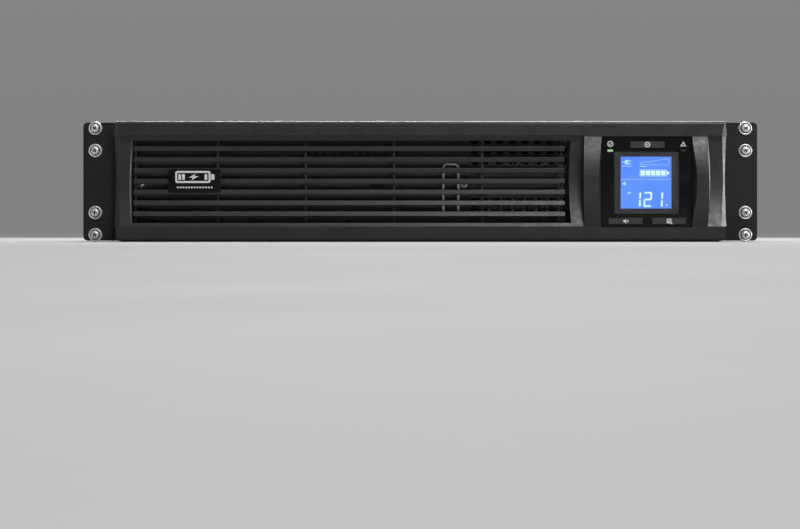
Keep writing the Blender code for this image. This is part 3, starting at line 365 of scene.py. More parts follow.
def rounded(left, low, right, high, radius, steps=5):
    corners = (
        (right - radius, low + radius, -90),
        (right - radius, high - radius, 0),
        (left + radius, high - radius, 90),
        (left + radius, low + radius, 180),
    )
    return [p for u, v, turn in corners for p in arc(u, v, radius, turn, turn + 90, steps)]


def stroke(points, width):
    """The outline of a line of this width through the points, with square ends."""
    sides = ([], [])
    for i, point in enumerate(points):
        here = Vector(point)
        before = (here - Vector(points[i - 1])).normalized() if i else None
        after = (Vector(points[i + 1]) - here).normalized() if i + 1 < len(points) else None
        run = ((before or after) + (after or before)).normalized()
        across = Vector((-run.y, run.x))
        reach = width / 2 / max(0.3, run.dot(after or before))
        sides[0].append(tuple(here + across * reach))
        sides[1].append(tuple(here - across * reach))
    return sides[0] + sides[1][::-1]


def moved(outlines, u, v, size=1.0):
    return [[(u + size * x, v + size * z) for x, z in outline] for outline in outlines]


def welded(mesh, distance):
    """The mesh with the points that lie this close together made one."""
    shape = bmesh.new()
    shape.from_mesh(mesh)
    bmesh.ops.remove_doubles(shape, verts=shape.verts, dist=distance)
    shape.to_mesh(mesh)
    shape.free()
    return mesh


def slab(name, outlines, front, back, bevel=0.0, segments=2):
    """A mesh of outlines in X and Z, given thickness in Y. An outline inside another is a hole."""
    curve = bpy.data.curves.new(name, "CURVE")
    curve.dimensions = "2D"
    curve.fill_mode = "BOTH"
    curve.extrude = (back - front) / 2
    for outline in outlines:
        spline = curve.splines.new("POLY")
        spline.points.add(len(outline) - 1)
        for point, (u, v) in zip(spline.points, outline):
            point.co = (u, v, 0, 1)
        spline.use_cyclic_u = True
    mesh = evaluated(loose(name, curve))
    shape = bmesh.new()
    shape.from_mesh(mesh)
    bmesh.ops.remove_doubles(shape, verts=shape.verts, dist=1e-7)
    turn = Matrix(((1, 0, 0, 0), (0, 0, 1, (front + back) / 2), (0, 1, 0, 0), (0, 0, 0, 1)))
    bmesh.ops.transform(shape, matrix=turn, verts=shape.verts)
    bmesh.ops.reverse_faces(shape, faces=shape.faces)
    bmesh.ops.dissolve_limit(shape, angle_limit=0.01, verts=shape.verts, edges=shape.edges)
    shape.to_mesh(mesh)
    shape.free()
    mesh.name = name
    return rounded_edges(mesh, bevel, segments) if bevel else mesh


def rounded_edges(mesh, width, segments=2):
    obj = loose(mesh.name, mesh)
    add_bevel(obj, width, segments)
    return evaluated(obj)


def add_bevel(obj, width, segments):
    bevel = obj.modifiers.new("edges", "BEVEL")
    bevel.width, bevel.segments = width, segments
    bevel.limit_method, bevel.angle_limit = "ANGLE", math.radians(32)
    bevel.miter_outer = "MITER_ARC"
    even = obj.modifiers.new("even", "WEIGHTED_NORMAL")
    even.keep_sharp = False
    for face in obj.data.polygons:
        face.use_smooth = True


def merged(name, meshes):
    """One mesh of several."""
    shape = bmesh.new()
    for mesh in meshes:
        shape.from_mesh(mesh)
    whole = bpy.data.meshes.new(name)
    shape.to_mesh(whole)
    shape.free()
    return whole


def lathe(name, profile, steps=40, axis="-Y", place=(0, 0, 0)):
    """A solid of revolution that stands in -Y or +Z.

    The profile is (radius, height) from the top, outer side down.
    """
    shape = bmesh.new()
    rings = []
    for radius, height in profile:
        if radius < 1e-7:
            rings.append([shape.verts.new((0, 0, height))])
        else:
            rings.append([shape.verts.new((x, y, height)) for x, y in ring(0, 0, radius, steps)])
    for upper, lower in zip(rings, rings[1:]):
        for i in range(steps):
            j = (i + 1) % steps
            around = ((upper, i), (lower, i), (lower, j), (upper, j))
            corners = list(dict.fromkeys(circle[k % len(circle)] for circle, k in around))
            if len(corners) > 2:
                shape.faces.new(corners)
    turn = Matrix.Identity(4) if axis == "+Z" else Matrix.Rotation(math.pi / 2, 4, "X")
    bmesh.ops.transform(shape, matrix=Matrix.Translation(place) @ turn, verts=shape.verts)
    mesh = bpy.data.meshes.new(name)
    shape.to_mesh(mesh)
    shape.free()
    return smooth(mesh, 40)


def cut_by(mesh, cutter):
    """The mesh with the cutter's shape taken out."""
    obj, tool = loose(mesh.name, mesh), loose("tool", cutter)
    step = obj.modifiers.new("cut", "BOOLEAN")
    step.operation, step.solver, step.object = "DIFFERENCE", "EXACT", tool
    name = mesh.name
    result = evaluated(obj)
    bpy.data.objects.remove(tool, do_unlink=True)
    result.name = name
    return result


# -------- carried-over parts


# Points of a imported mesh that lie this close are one
WELD = 2e-6


def dress(name, look, bevel, segments):
    """Gives a CAD node its finish and, where asked, finely rounded edges."""
    obj = NODES[name]
    obj.material_slots[0].material = look
    normals = obj.data.attributes.get("custom_normal")
    if normals:
        obj.data.attributes.remove(normals)
    weld = obj.modifiers.new("weld", "WELD")
    weld.merge_threshold = WELD
    if bevel:
        add_bevel(obj, bevel, segments)
    else:
        for face in obj.data.polygons:
            face.use_smooth = True
        split = obj.modifiers.new("split", "EDGE_SPLIT")
        split.split_angle = math.radians(32)


# The nodes whose edges are rounded by this radius, in this many steps
ROUNDED = (
    (0.00015, 1, ("rear_panel", "front_frame")),
    (0.0002, 2, ("louvre_insert", "battery_door", "battery_tray", "outlet_bank_upper", "outlet_bank_lower")),
    (0.0002, 2, ("usb_port", "network_port", "breaker_body", "heat_sink")),
    (0.00025, 3, ("display_housing",)),
    (0.0003, 2, ("badge_plate", "chassis_tray", "power_inlet", "breaker_button", "battery_plug")),
    (0.0003, 2, ("transformer_core", "transformer_cradle")),
    (0.00035, 3, ("front_bezel", "rack_ear_left", "rack_ear_right")),
    (0.0004, 2, ("fan_housing",)),
    (0.0004, 3, ("top_cover", "power_button", "mute_button", "menu_button")),
    (0.0005, 2, ("battery_socket",)),
    (0.0008, 2, ("transformer_winding",)),
)
EDGES = {name: (radius, steps) for radius, steps, names in ROUNDED for name in names}


# Nodes that don't look as their slot does
OWN_LOOKS = {
    "power_button": KEY_FACE,
    "mute_button": KEY_FACE,
    "menu_button": KEY_FACE,
    "battery_door": DOOR_STEEL,
    "front_frame": DOOR_STEEL,
    "fault_light": UNLIT,
}


def dress_all():
    for row in frame["record"]["subparts"]:
        name = row["node"]
        look = OWN_LOOKS.get(name, LOOKS[row["material_slot"]])
        dress(name, look, *EDGES.get(name, (0.0, 0)))
    NODES["display_window"].visible_shadow = False


dress_all()


# -------- screws


# Cross recesses as (reach, width, depth) in metres
RACK_RECESS = (0.0023, 0.0009, 0.0020)
FITTING_RECESS = (0.0021, 0.0008, 0.0014)
PAN_RECESS = (0.0015, 0.0006, 0.0008)
FLAT_RECESS = (0.0017, 0.0007, 0.0007)


def cross_recess(place, turn, reach, width, depth):
    """A tapered cross standing in -Y, as the hollow that a cross-head driver fits. Its faces take the second
    look, a painted shade.
    """
    arms = []
    for quarter in (0, 90):
        shape = bmesh.new()
        bmesh.ops.create_cube(shape, size=1.0)
        for vert in shape.verts:
            narrow = 0.45 if vert.co.z < 0 else 1.0
            vert.co.x *= 2 * reach * narrow
            vert.co.y *= width * (0.7 if vert.co.z < 0 else 1.0)
            vert.co.z *= depth * 2
        spin = Matrix.Rotation(math.radians(turn + quarter), 4, "Z")
        lay = Matrix.Translation(place) @ Matrix.Rotation(math.pi / 2, 4, "X") @ spin
        bmesh.ops.transform(shape, matrix=lay, verts=shape.verts)
        # The recess's faces take the second look, which paints shade into the cross
        for face in shape.faces:
            face.material_index = 1
        mesh = bpy.data.meshes.new("arm")
        shape.to_mesh(mesh)
        shape.free()
        for look in (LOOKS["nickel"], HOLLOW_SHADE):
            mesh.materials.append(look)
        arms.append(mesh)
    return arms


def screw(name, profile, axis, place, turn, recess, steps=48):
    """A screw whose head has a cross recess. Its crown is the profile's first height."""
    mesh = lathe(name, profile, steps)
    # The second look paints shade into the cross recess
    for look in (LOOKS["nickel"], HOLLOW_SHADE):
        mesh.materials.append(look)
    for arm in cross_recess((0, -profile[0][1], 0), turn, *recess):
        mesh = cut_by(mesh, arm)
    face, about = {
        "-Y": (0, "Z"), "+Y": (math.pi, "Z"), "+X": (math.pi / 2, "Z"), "-X": (-math.pi / 2, "Z"),
        "+Z": (-math.pi / 2, "X"),
    }[axis]
    mesh.transform(Matrix.Translation(place) @ Matrix.Rotation(face, 4, about))
    return smooth(mesh, 38)


def middle(name):
    low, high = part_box(name)
    return (low + high) / 2


# Heads as (radius, height) in millimetres from the crown outwards and down to the seat
RACK_HEAD = (
    (0, 3.30), (1.0, 3.27), (1.9, 3.14), (2.5, 2.9), (2.86, 2.5), (3.02, 1.9), (3.04, 1.0),
    (3.04, 0.3), (3.62, 0.3), (3.68, 1.0), (3.80, 1.22), (4.06, 1.32), (4.36, 1.30), (4.62, 1.16),
    (4.78, 0.9), (4.85, 0.5), (4.85, 0),
)
PAN_HEAD = ((0, 1.5), (1.1, 1.45), (1.9, 1.25), (2.5, 0.85), (2.8, 0.3), (2.8, -0.3), (0, -0.3))
DOOR_HEAD = ((0, 2.4), (1.4, 2.34), (2.4, 2.1), (3.2, 1.4), (3.6, 0.3), (3.6, 0), (1.8, 0))
GROUND_HEAD = ((0, 3.4), (1.6, 3.3), (2.9, 2.9), (3.8, 2.0), (4.2, 0.9), (4.2, 0.3), (2.0, 0.3))
FLAT_HEAD = ((0, -0.05), (2.9, -0.05), (3.05, -0.12), (1.8, -0.95), (0, -0.95))
COUNTERSINK = ((0, 0.4), (3.3, 0.4), (3.3, -0.02), (2.0, -1.0), (0, -1.0))
# The groove between a rack screw's head and its washer, where shade is painted, as inner radius, outer radius
# and height
GROOVE = (3.05, 3.65, 1.0)


def thread(radius, pitch, length, start=0.0):
    """The profile of a threaded shank below a head, in millimetres."""
    turns = round(length / pitch)
    profile = [(radius, start)]
    for i in range(turns):
        profile += [(radius, start - pitch * (i + 0.35)), (radius - 0.45 * pitch, start - pitch * (i + 0.75))]
    return profile + [(radius - 0.3, start - length), (0, start - length - 0.6)]


def in_metres(profile):
    return [(radius * MM, height * MM) for radius, height in profile]


def paint_groove_shade(mesh, centre, seat):
    """Paints shade into the groove between a rack screw's head and its washer, with the hollows' dark look.
    """
    inner, outer, top = (value * MM for value in GROOVE)
    for face in mesh.polygons:
        away = math.hypot(face.center.x - centre.x, face.center.z - centre.z)
        if inner - 0.0001 < away < outer and seat - top < face.center.y < seat:
            face.material_index = 1


# From a rack screw's seat on the ear to the end of its packed shank
RACK_SHANK = 0.016


def make_rack_screws():
    """Pan heads in cup washers, each stopped at a different turn."""
    profile = in_metres(RACK_HEAD + tuple(thread(2.9, 1.25, 15.0)))
    for side in ("left", "right"):
        for count in range(1, 5):
            node = f"rack_screw_{side}_{count}"
            centre, back = middle(node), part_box(node)[1].y
            seat = back - RACK_SHANK
            turn = random.uniform(0, 90)
            place = (centre.x, seat, centre.z)
            mesh = screw(f"{node}_fine", profile, "-Y", place, turn, RACK_RECESS)
            # Shade is painted into the washer groove and the cross recess
            paint_groove_shade(mesh, centre, seat)
            piece = keep(f"{node}_fine", mesh, "chassis", LOOKS["nickel"], HOLLOW_SHADE)
            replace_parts(piece, node)


def make_fitting_screws():
    """The battery door's two screws and the earth screw, with recessed heads on threaded shanks."""
    door = (DOOR_HEAD, thread(1.8, 0.7, 3.5), "-Y", "battery_drawer")
    for node, head, shank, axis, body in (
        ("door_screw_left", *door),
        ("door_screw_right", *door),
        ("ground_screw", GROUND_HEAD, thread(2.0, 0.8, 5.6, 0.3), "+Y", "chassis"),
    ):
        low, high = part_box(node)
        centre, crown = middle(node), head[0][1] * MM
        seat = low.y + crown if axis == "-Y" else high.y - crown - 0.0001
        place, turn = (centre.x, seat, centre.z), random.uniform(10, 80)
        profile = in_metres(head + tuple(shank))
        mesh = screw(node + "_fine", profile, axis, place, turn, FITTING_RECESS)
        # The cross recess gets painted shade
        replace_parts(keep(node + "_fine", mesh, body, LOOKS["nickel"], HOLLOW_SHADE), node)


def pan_screws(name, places, axis, look=BLACK_ZINC):
    """A group of small pan-head screws in the chassis, as one piece."""
    meshes = []
    for place in places:
        turn = random.uniform(0, 90)
        meshes.append(screw("pan", in_metres(PAN_HEAD), axis, place, turn, PAN_RECESS, 24))
    # Their cross recesses get painted shade
    keep(name, merged(name, meshes), "chassis", look, HOLLOW_SHADE)


# How far the ears' bent legs stand out from the cover's sides
EAR_LEG = 0.0023


def make_case_screws():
    """Pan heads on the ears' legs, on the cover's sides and round the rear panel."""
    cover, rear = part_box("top_cover")[1].x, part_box("rear_panel")[1].y
    leg = cover + EAR_LEG
    leg_places = [(y, z) for y in (-0.165, -0.130) for z in (0.020, 0.043, 0.066)]
    side_places = [(y, 0.011) for y in (-0.09, -0.01, 0.07, 0.15)] + [(0.185, 0.043), (0.185, 0.075)]
    for side, axis, word in ((1, "+X", "right"), (-1, "-X", "left")):
        pan_screws(f"ear_screws_{word}", [(side * leg, y, z) for y, z in leg_places], axis)
        pan_screws(f"cover_screws_{word}", [(side * cover, y, z) for y, z in side_places], axis)
    rear_places = ((-0.2085, 0.0075), (-0.2085, 0.0775), (-0.045, 0.0775), (-0.045, 0.0075), (0.0345, 0.0775))
    rear_places += ((0.0345, 0.0075), (0.1165, 0.0775), (0.2105, 0.0430))
    pan_screws("rear_screws", [(x, rear, z) for x, z in rear_places], "+Y")


def make_top():
    """The cover with six flat heads sunk flush in its top."""
    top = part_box("top_cover")[1].z
    places = [(x, y, top) for x in (-0.19, 0.0, 0.19) for y in (-0.158, 0.186)]
    whole = NODES["top_cover"].data.copy()
    whole.transform(NODES["top_cover"].matrix_world)
    sinks = [lathe("sink", in_metres(COUNTERSINK), 28, "+Z", place) for place in places]
    cover = cut_by(welded(whole, WELD), merged("sinks", sinks))
    piece = keep("top_cover_fine", cover, "chassis", LOOKS["black_steel"])
    add_bevel(piece, *EDGES["top_cover"])
    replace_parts(piece, "top_cover")
    heads = []
    for place in places:
        turn = random.uniform(0, 90)
        heads.append(screw("flat", in_metres(FLAT_HEAD), "+Z", place, turn, FLAT_RECESS, 28))
    # The flat heads' cross recesses get painted shade
    keep("top_screws", merged("top_screws", heads), "chassis", BLACK_ZINC, HOLLOW_SHADE)


make_rack_screws()
make_fitting_screws()
make_case_screws()
make_top()


# -------- wirework


def wire(points, radius, closed=False, sides=3):
    """A round bar through the points, as a mesh."""
    curve = bpy.data.curves.new("wire", "CURVE")
    curve.dimensions = "3D"
    curve.bevel_depth, curve.bevel_resolution = radius, sides
    curve.use_fill_caps = not closed
    spline = curve.splines.new("POLY")
    spline.points.add(len(points) - 1)
    for point, place in zip(spline.points, points):
        point.co = (*place, 1)
    spline.use_cyclic_u = closed
    return smooth(welded(evaluated(loose("wire", curve)), 1e-7), 40)


def make_fan_guard():
    """Wire rings on crossed bars, which end in eyes that four screws hold."""
    centre = middle("fan_guard")
    thick, reach, eye, hub = 0.0008, 0.03575, 0.0034, 0.0052
    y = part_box("fan_guard")[0].y + thick
    meshes = []
    for radius in (0.0075, 0.0140, 0.0205, 0.0270, 0.0335, 0.0395):
        circle = [(x, y, z) for x, z in ring(centre.x, centre.z, radius, 56)]
        meshes.append(wire(circle, thick, True))
    screws = []
    for dx, dz in ((1, 1), (1, -1), (-1, 1), (-1, -1)):
        x, z = centre.x + dx * reach, centre.z + dz * reach
        meshes.append(wire([(u, y, v) for u, v in ring(x, z, eye, 20)], thick, True))
        inset = eye / math.sqrt(2)
        near = (centre.x + dx * hub, y + thick, centre.z + dz * hub)
        meshes.append(wire([near, (x - dx * inset, y + thick * 0.6, z - dz * inset)], thick))
        screws.append((x, y + thick, z))
    piece = keep("fan_guard_wires", merged("fan_guard_wires", meshes), "chassis", LOOKS["nickel"])
    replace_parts(piece, "fan_guard")
    pan_screws("fan_guard_screws", screws, "+Y", LOOKS["nickel"])


def make_door_handle():
    """The bright wire loop that the drawer is pulled by."""
    low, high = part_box("door_handle")
    radius, bend = 0.0011, 0.0030
    left, right, foot, head = low.x + radius, high.x - radius, low.z + radius, high.z - radius
    back, front = high.y, low.y + radius
    path = [(left, back, foot)]
    turn = arc(0, 0, bend, 0, 90, 6)
    path += [(left, front + bend - v, foot + bend - u) for u, v in turn]
    path += [(left + bend - u, front, head - bend + v) for u, v in turn]
    other = [(left + right - x, y, z) for x, y, z in reversed(path)]
    piece = keep("door_handle_loop", wire(path + other, radius), "battery_drawer", LOOKS["nickel"])
    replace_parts(piece, "door_handle")


make_fan_guard()
make_door_handle()


# -------- case details


def flat(name, outlines, low, high):
    """A mesh of outlines in X and Y, given thickness in Z."""
    mesh = slab(name, outlines, -high, -low)
    mesh.transform(Matrix.Rotation(-math.pi / 2, 4, "X"))
    return mesh


def make_side_vents():
    """Two rows of pressed louvre hoods to the rear of each side, each over a dark strip that paints the shade
    of the opening under it.
    """
    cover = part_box("top_cover")[1].x
    length, rise, tall, lap = 0.026, 0.0013, 0.0046, 0.0004
    first_y, first_z, along, up = 0.005, 0.045, 0.032, 0.016
    sunk, proud, gap, inset = 0.0003, 0.00004, 0.0016, 0.001
    for side, word in ((1, "right"), (-1, "left")):
        hoods, vent_shades = [], []
        for row in range(2):
            for column in range(5):
                y, z = first_y + column * along, first_z + row * up
                hood = [(cover - lap, z), (cover + rise, z), (cover + rise * 0.85, z + tall * 0.45)]
                hood += [(cover + rise * 0.35, z + tall * 0.85), (cover - lap, z + tall)]
                hoods.append(slab("hood", [[(side * u, v) for u, v in hood]], y, y + length, 0.0006, 3))
                # A dark strip under each hood: painted shade in place of the opening
                dark = rectangle(cover - sunk, z - gap, cover + proud, z)
                vent_shades.append(slab("slot", [[(side * u, v) for u, v in dark]], y + inset, y + length - inset))
        keep(f"side_vents_{word}", merged("hoods", hoods), "chassis", LOOKS["black_steel"])
        keep(f"side_vent_shades_{word}", merged("vent_shades", vent_shades), "chassis", HOLLOW_SHADE)


def make_bezel_catches():
    """Headed studs on the front frame, of the kind that a bezel clips onto."""
    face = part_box("front_frame")[0].y
    stem = ((0, 5.2), (1.6, 5.0), (2.3, 4.2), (2.3, 3.4), (1.3, 2.6), (1.3, 0.5), (3.2, 0.3))
    profile = in_metres((*stem, (3.2, -0.3), (0, -0.3)))
    studs = []
    for x, z in ((0.0900, 0.0765), (0.2060, 0.0765), (0.2060, 0.0085)):
        stud = lathe("stud", profile, 24)
        stud.transform(Matrix.Translation((x, face, z)))
        studs.append(stud)
    plastic = LOOKS["charcoal_plastic"]
    keep("bezel_catches", merged("bezel_catches", studs), "chassis", plastic)


def rear_mark(name, shapes, x, z, look, lift=0.0, body="chassis", face=None):
    """Outlines in millimetres, each on its own, printed on a face that looks along +Y."""
    face = (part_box("rear_panel")[1].y if face is None else face) + lift
    meshes = []
    for outlines in shapes:
        seen = [[(x - u * MM, z + v * MM) for u, v in outline] for outline in outlines]
        meshes.append(slab(name, seen, face + 0.005 * MM, face + 0.08 * MM))
    keep(name, merged(name, meshes), body, look)


def make_rear_prints():
    """A plate of blank rows, a line round the outlets, the earth sign and the inlet's arrow."""
    plate_x, plate_z, beside, above = -0.1900, 0.0430, 0.0085, 0.0165
    rows = [[rectangle(-13.0, v, 13.0, v + 0.35)] for v in range(-20, 22, 5)]
    rows += [[rectangle(-11.0, v, 9.0 - abs(v) * 0.5, v + 0.9)] for v in range(-18, 20, 5)]
    rear_mark("rating_plate", [[rounded(-15.5, -27, 15.5, 27, 1.2)]], plate_x, plate_z, PAPER)
    rear_mark("rating_plate_rows", rows, plate_x, plate_z, LABEL_DARK, 0.08 * MM)
    upper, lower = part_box("outlet_bank_upper"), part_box("outlet_bank_lower")
    centre = (upper[1] + lower[0]) / 2
    wide, tall = (upper[1].x - upper[0].x) / 2 / MM + 2.6, (upper[1].z - lower[0].z) / 2 / MM + 2.4
    line = 0.45
    frame_lines = [rounded(-wide, -tall, wide, tall, 2.5)]
    frame_lines.append(rounded(line - wide, line - tall, wide - line, tall - line, 2.1))
    rear_mark("outlet_frame", [frame_lines], centre.x, centre.z, WHITE_INK)
    earth = [[rectangle(-0.25, 0.75, 0.25, 2.8)]]
    earth += [[rectangle(-half, v, half, v + 0.45)] for half, v in ((2.1, 0.25), (1.4, -0.75), (0.7, -1.75))]
    ground = middle("ground_screw")
    rear_mark("earth_sign", earth, ground.x - beside, ground.z, WHITE_INK)
    arrow = [[(-2.2, 1.3), (0.0, -1.7), (2.2, 1.3)]]
    inlet = middle("power_inlet")
    rear_mark("inlet_arrow", [arrow], inlet.x, inlet.z + above, WHITE_INK)


def make_hub_sticker():
    """A paper disc on the fan's hub, with a dark ring and a turning arrow."""
    hub, face = middle("fan_rotor"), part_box("fan_rotor")[1].y
    rear_mark("hub_sticker", [[ring(0, 0, 10.5, 40)]], hub.x, hub.z, PAPER, 0, "fan_wheel", face)
    bands = [[ring(0, 0, 9.4, 40), ring(0, 0, 7.9, 40)]]
    bands.append([arc(0, 0, 5.6, 20, 300, 20) + arc(0, 0, 4.7, 300, 20, 20)])
    bands.append([[(3.6, 1.6), (6.9, 1.6), (5.2, -1.0)]])
    rear_mark("hub_sticker_print", bands, hub.x, hub.z, LABEL_DARK, 0.08 * MM, "fan_wheel", face)


make_side_vents()
make_bezel_catches()
make_rear_prints()
make_hub_sticker()


# -------- battery pack


# Batteries that stand side by side, the left one first
PAIRS = (("battery_1", "battery_3"), ("battery_2", "battery_4"))
LABEL_BACK = 0.0875  # from a battery's front to the middle of the sheet on it
POST_IN, POST_BACK = 0.012, 0.022  # from a battery's side and front to a post


def make_pack_labels():
    """A sheet over each pair of batteries, with a stripe, a battery picture and an arrow to the front."""
    sheets, stripes, prints = [], [], []
    for one, other in PAIRS:
        (low, _), (_, high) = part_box(one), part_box(other)
        centre = ((low.x + high.x) / 2, low.y + LABEL_BACK)
        wide, deep = 73, 46
        lines = [rectangle(10, 14 + 6 * i, wide - 8 - 9 * i, 16 + 6 * i) for i in range(4)]
        arrow = [(-40, -25), (-56, -6), (-46, -6), (-46, 16), (-34, 16), (-34, -6), (-24, -6)]
        cell = [rounded(10, -22, 52, 2, 3), rounded(13, -19, 49, -1, 1), rounded(52.4, -14, 56, -6, 1)]
        cell += [rectangle(x, -16, x + 7, -4) for x in (16, 26, 36)]
        top = high.z
        face, ink = top + 0.15 * MM, top + 0.22 * MM
        sheet = moved([rounded(-wide, -deep, wide, deep, 4)], *centre, MM)
        sheets.append(flat("sheet", sheet, top, face))
        stripe = moved([rectangle(-wide + 4, -deep + 4, wide - 4, -deep + 15)], *centre, MM)
        stripes.append(flat("stripe", stripe, face, ink))
        for outlines in ([arrow], cell, lines):
            prints.append(flat("print", moved(outlines, *centre, MM), face, ink))
    for name, meshes, look in (
        ("pack_labels", sheets, PAPER),
        ("pack_label_stripes", stripes, LABEL_GREEN),
        ("pack_label_prints", prints, LABEL_DARK),
    ):
        keep(name, merged(name, meshes), "battery_drawer", look)


# A battery post's profile, given as the heads of screws are
POST = ((0, 2.2), (3.9, 2.2), (4.4, 1.8), (4.6, -0.2), (0, -0.2))


def make_terminals():
    """A red and a black post on each battery, each with its upright tab."""
    half_wide, half_thick, foot, head = 0.0032, 0.0004, 0.001, 0.0082
    posts, tabs = {"positive": [], "negative": []}, []
    for count in range(1, 5):
        low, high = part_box(f"battery_{count}")
        for word, x in (("positive", low.x + POST_IN), ("negative", high.x - POST_IN)):
            y, z = low.y + POST_BACK, high.z
            posts[word].append(lathe("post", in_metres(POST), 28, "+Z", (x, y, z)))
            tab = rectangle(x - half_wide, z + foot, x + half_wide, z + head)
            tabs.append(slab("tab", [tab], y - half_thick, y + half_thick, 0.0002))
    for word, slot in (("positive", "matte_red"), ("negative", "black_gloss")):
        keep(word + "_posts", merged("posts", posts[word]), "battery_drawer", LOOKS[slot])
    keep("terminal_tabs", merged("tabs", tabs), "battery_drawer", LOOKS["nickel"])


def make_jumpers():
    """A short arched lead that joins each pair of batteries, post to post."""
    leads = []
    steps, above, lift, drop, radius = 14, 0.0058, 0.0032, 0.002, 0.0021
    for one, other in PAIRS:
        start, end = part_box(one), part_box(other)
        x0, x1 = start[1].x - POST_IN, end[0].x + POST_IN
        y, z = start[0].y + POST_BACK, start[1].z + above
        points = [(x0, y, z - drop)]
        for i in range(steps + 1):
            t = i / steps
            points.append((x0 + (x1 - x0) * t, y, z + lift * math.sin(math.pi * t)))
        points.append((x1, y, z - drop))
        leads.append(wire(points, radius))
    keep("battery_jumpers", merged("jumpers", leads), "battery_drawer", LOOKS["black_gloss"])


def make_door_label():
    """A small plate on the door with a picture of a battery sliding out."""
    face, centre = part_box("battery_door")[0].y, middle("badge_plate")
    plate = [rounded(-15.0, -6.0, 15.0, 6.0, 1.0)]
    picture = [rounded(-11.0, -3.2, 1.0, 3.2, 0.8, 3), rounded(-9.9, -2.1, -0.1, 2.1, 0.4, 3)]
    head = [(9.0, -0.7), (9.0, -2.4), (12.0, 0.0), (9.0, 2.4), (9.0, 0.7)]
    picture += [rectangle(1.4, -1.2, 2.4, 1.2), [(5.0, -0.7), *head, (5.0, 0.7)]]
    scaled_mark("door_label", plate, centre, face, "battery_drawer", PAPER, 0.1 * MM)
    scaled_mark("door_label_print", picture, centre, face - 0.1 * MM, "battery_drawer", LABEL_DARK)


# -------- badge


def make_badge_mark():
    """A plain battery picture over a row of charge dots."""
    centre, face = middle("badge_plate"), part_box("badge_plate")[0].y
    body = [rounded(-11.0, -3.4, 9.0, 3.4, 1.2), rounded(-9.9, -2.3, 7.9, 2.3, 0.6)]
    nub = [rounded(9.3, -1.6, 11.2, 1.6, 0.5)]
    bolt = [[(0.6, 1.9), (-3.4, -0.35), (-0.9, -0.35), (-1.9, -1.9), (2.4, 0.45), (-0.2, 0.45)]]
    cells = [rectangle(x, -1.6, x + 1.5, 1.6) for x in (-9.2, -7.1, 5.6)]
    shapes = [moved([*body, *nub, *bolt, *cells], centre.x, centre.z + 2.4 * MM, 1.25 * MM)]
    dots = [rounded(x - 0.6, -0.6, x + 0.6, 0.6, 0.25, 2) for x in range(-12, 13, 2)]
    shapes.append(moved(dots, centre.x, centre.z - 5.0 * MM, MM))
    meshes = [slab("mark", outlines, face - 0.05 * MM, face - 0.005 * MM) for outlines in shapes]
    keep("badge_mark", merged("badge_mark", meshes), "bezel", WHITE_INK)


make_badge_mark()


# -------- display


def scaled_mark(name, outlines, centre, front, body, look=WHITE_INK, thick=0.06 * MM):
    """Outlines in millimetres round a centre, printed on a face that looks along -Y."""
    mesh = slab(name, moved(outlines, centre.x, centre.z, MM), front - thick, front - 0.005 * MM)
    keep(name, mesh, body, look)


def power_icon():
    return [ring(0, 0, 2.0), ring(0, 0, 1.3), [(-0.72, 0.42), (0.0, -0.78), (0.72, 0.42)]]


def check_icon():
    """A tick in a ring."""
    return [ring(0, 0, 2.1), ring(0, 0, 1.5), stroke([(-0.8, 0.15), (-0.2, -0.6), (0.95, 0.75)], 0.5)]


def warning_icon():
    frame_line = [[(-2.15, -1.7), (2.15, -1.7), (0.0, 2.0)], [(-1.3, -1.2), (1.3, -1.2), (0.0, 1.0)]]
    return frame_line + [rectangle(-0.2, -0.35, 0.2, 0.55), rectangle(-0.2, -0.95, 0.2, -0.6)]


def speaker(size):
    outline = [(-1.7, -0.65), (-0.75, -0.65), (0.5, -1.75), (0.5, 1.75), (-0.75, 0.65), (-1.7, 0.65)]
    return [(size * x, size * z) for x, z in outline]


def mute_icon():
    """A speaker beside a small cross."""
    tip, thin = 0.62, 0.2
    cross = []
    for quarter in range(4):
        spin = Matrix.Rotation(math.radians(45 + 90 * quarter), 2)
        cross += [tuple(spin @ Vector(p)) for p in ((tip * 1.5, -thin), (tip * 1.5, thin), (thin, thin))]
    return [speaker(1.0), moved([cross], 1.55, 0)[0]]


def menu_icon():
    """A page of lines with a knob at its foot."""
    lines = [rectangle(-1.2, z, 0.9, z + 0.32) for z in (-0.5, 0.25, 1.0)]
    return [rounded(-1.8, -1.6, 1.5, 1.8, 0.35, 2), *lines, ring(1.75, -1.75, 0.55, 16)]


def make_front_marks():
    """The signs on the three keys and above the two lights."""
    for word, outlines in (("power", power_icon()), ("mute", mute_icon()), ("menu", menu_icon())):
        name = word + "_button"
        scaled_mark(name + "_icon", outlines, middle(name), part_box(name)[0].y, word + "_key")
    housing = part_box("display_housing")[0].y
    for name, outlines in (("online_light", check_icon()), ("fault_light", warning_icon())):
        above = middle(name) + Vector((0, 0, 4.6 * MM))
        scaled_mark(name + "_icon", outlines, above, housing, "chassis")


make_front_marks()
make_pack_labels()
make_terminals()
make_jumpers()
make_door_label()


# Each digit's lit bars, lettered clockwise from the top with g in the middle
DIGIT_BARS = {"1": "bc", "2": "abged"}


def digit(text, right, low, width=5.9, height=10.7, thick=1.25, lean=0.045):
    """The lit bars of one seven-bar digit, leaning a little to the right."""
    left, top, mid, slack = right - width, low + height, low + height / 2, 0.22
    half = thick / 2

    def across(z):
        ends = (left + slack + half, right - slack - half)
        return [
            (ends[0] - half, z), (ends[0], z + half), (ends[1], z + half),
            (ends[1] + half, z), (ends[1], z - half), (ends[0], z - half),
        ]

    def upright(x, foot, head):
        foot, head = foot + slack + half, head - slack - half
        return [
            (x, foot - half), (x - half, foot), (x - half, head),
            (x, head + half), (x + half, head), (x + half, foot),
        ]

    bars = {
        "a": across(top - half), "g": across(mid), "d": across(low + half),
        "b": upright(right - half, mid, top), "c": upright(right - half, low, mid),
        "e": upright(left + half, low, mid),
    }
    return [[(x + lean * (z - mid), z) for x, z in bars[letter]] for letter in DIGIT_BARS[text]]


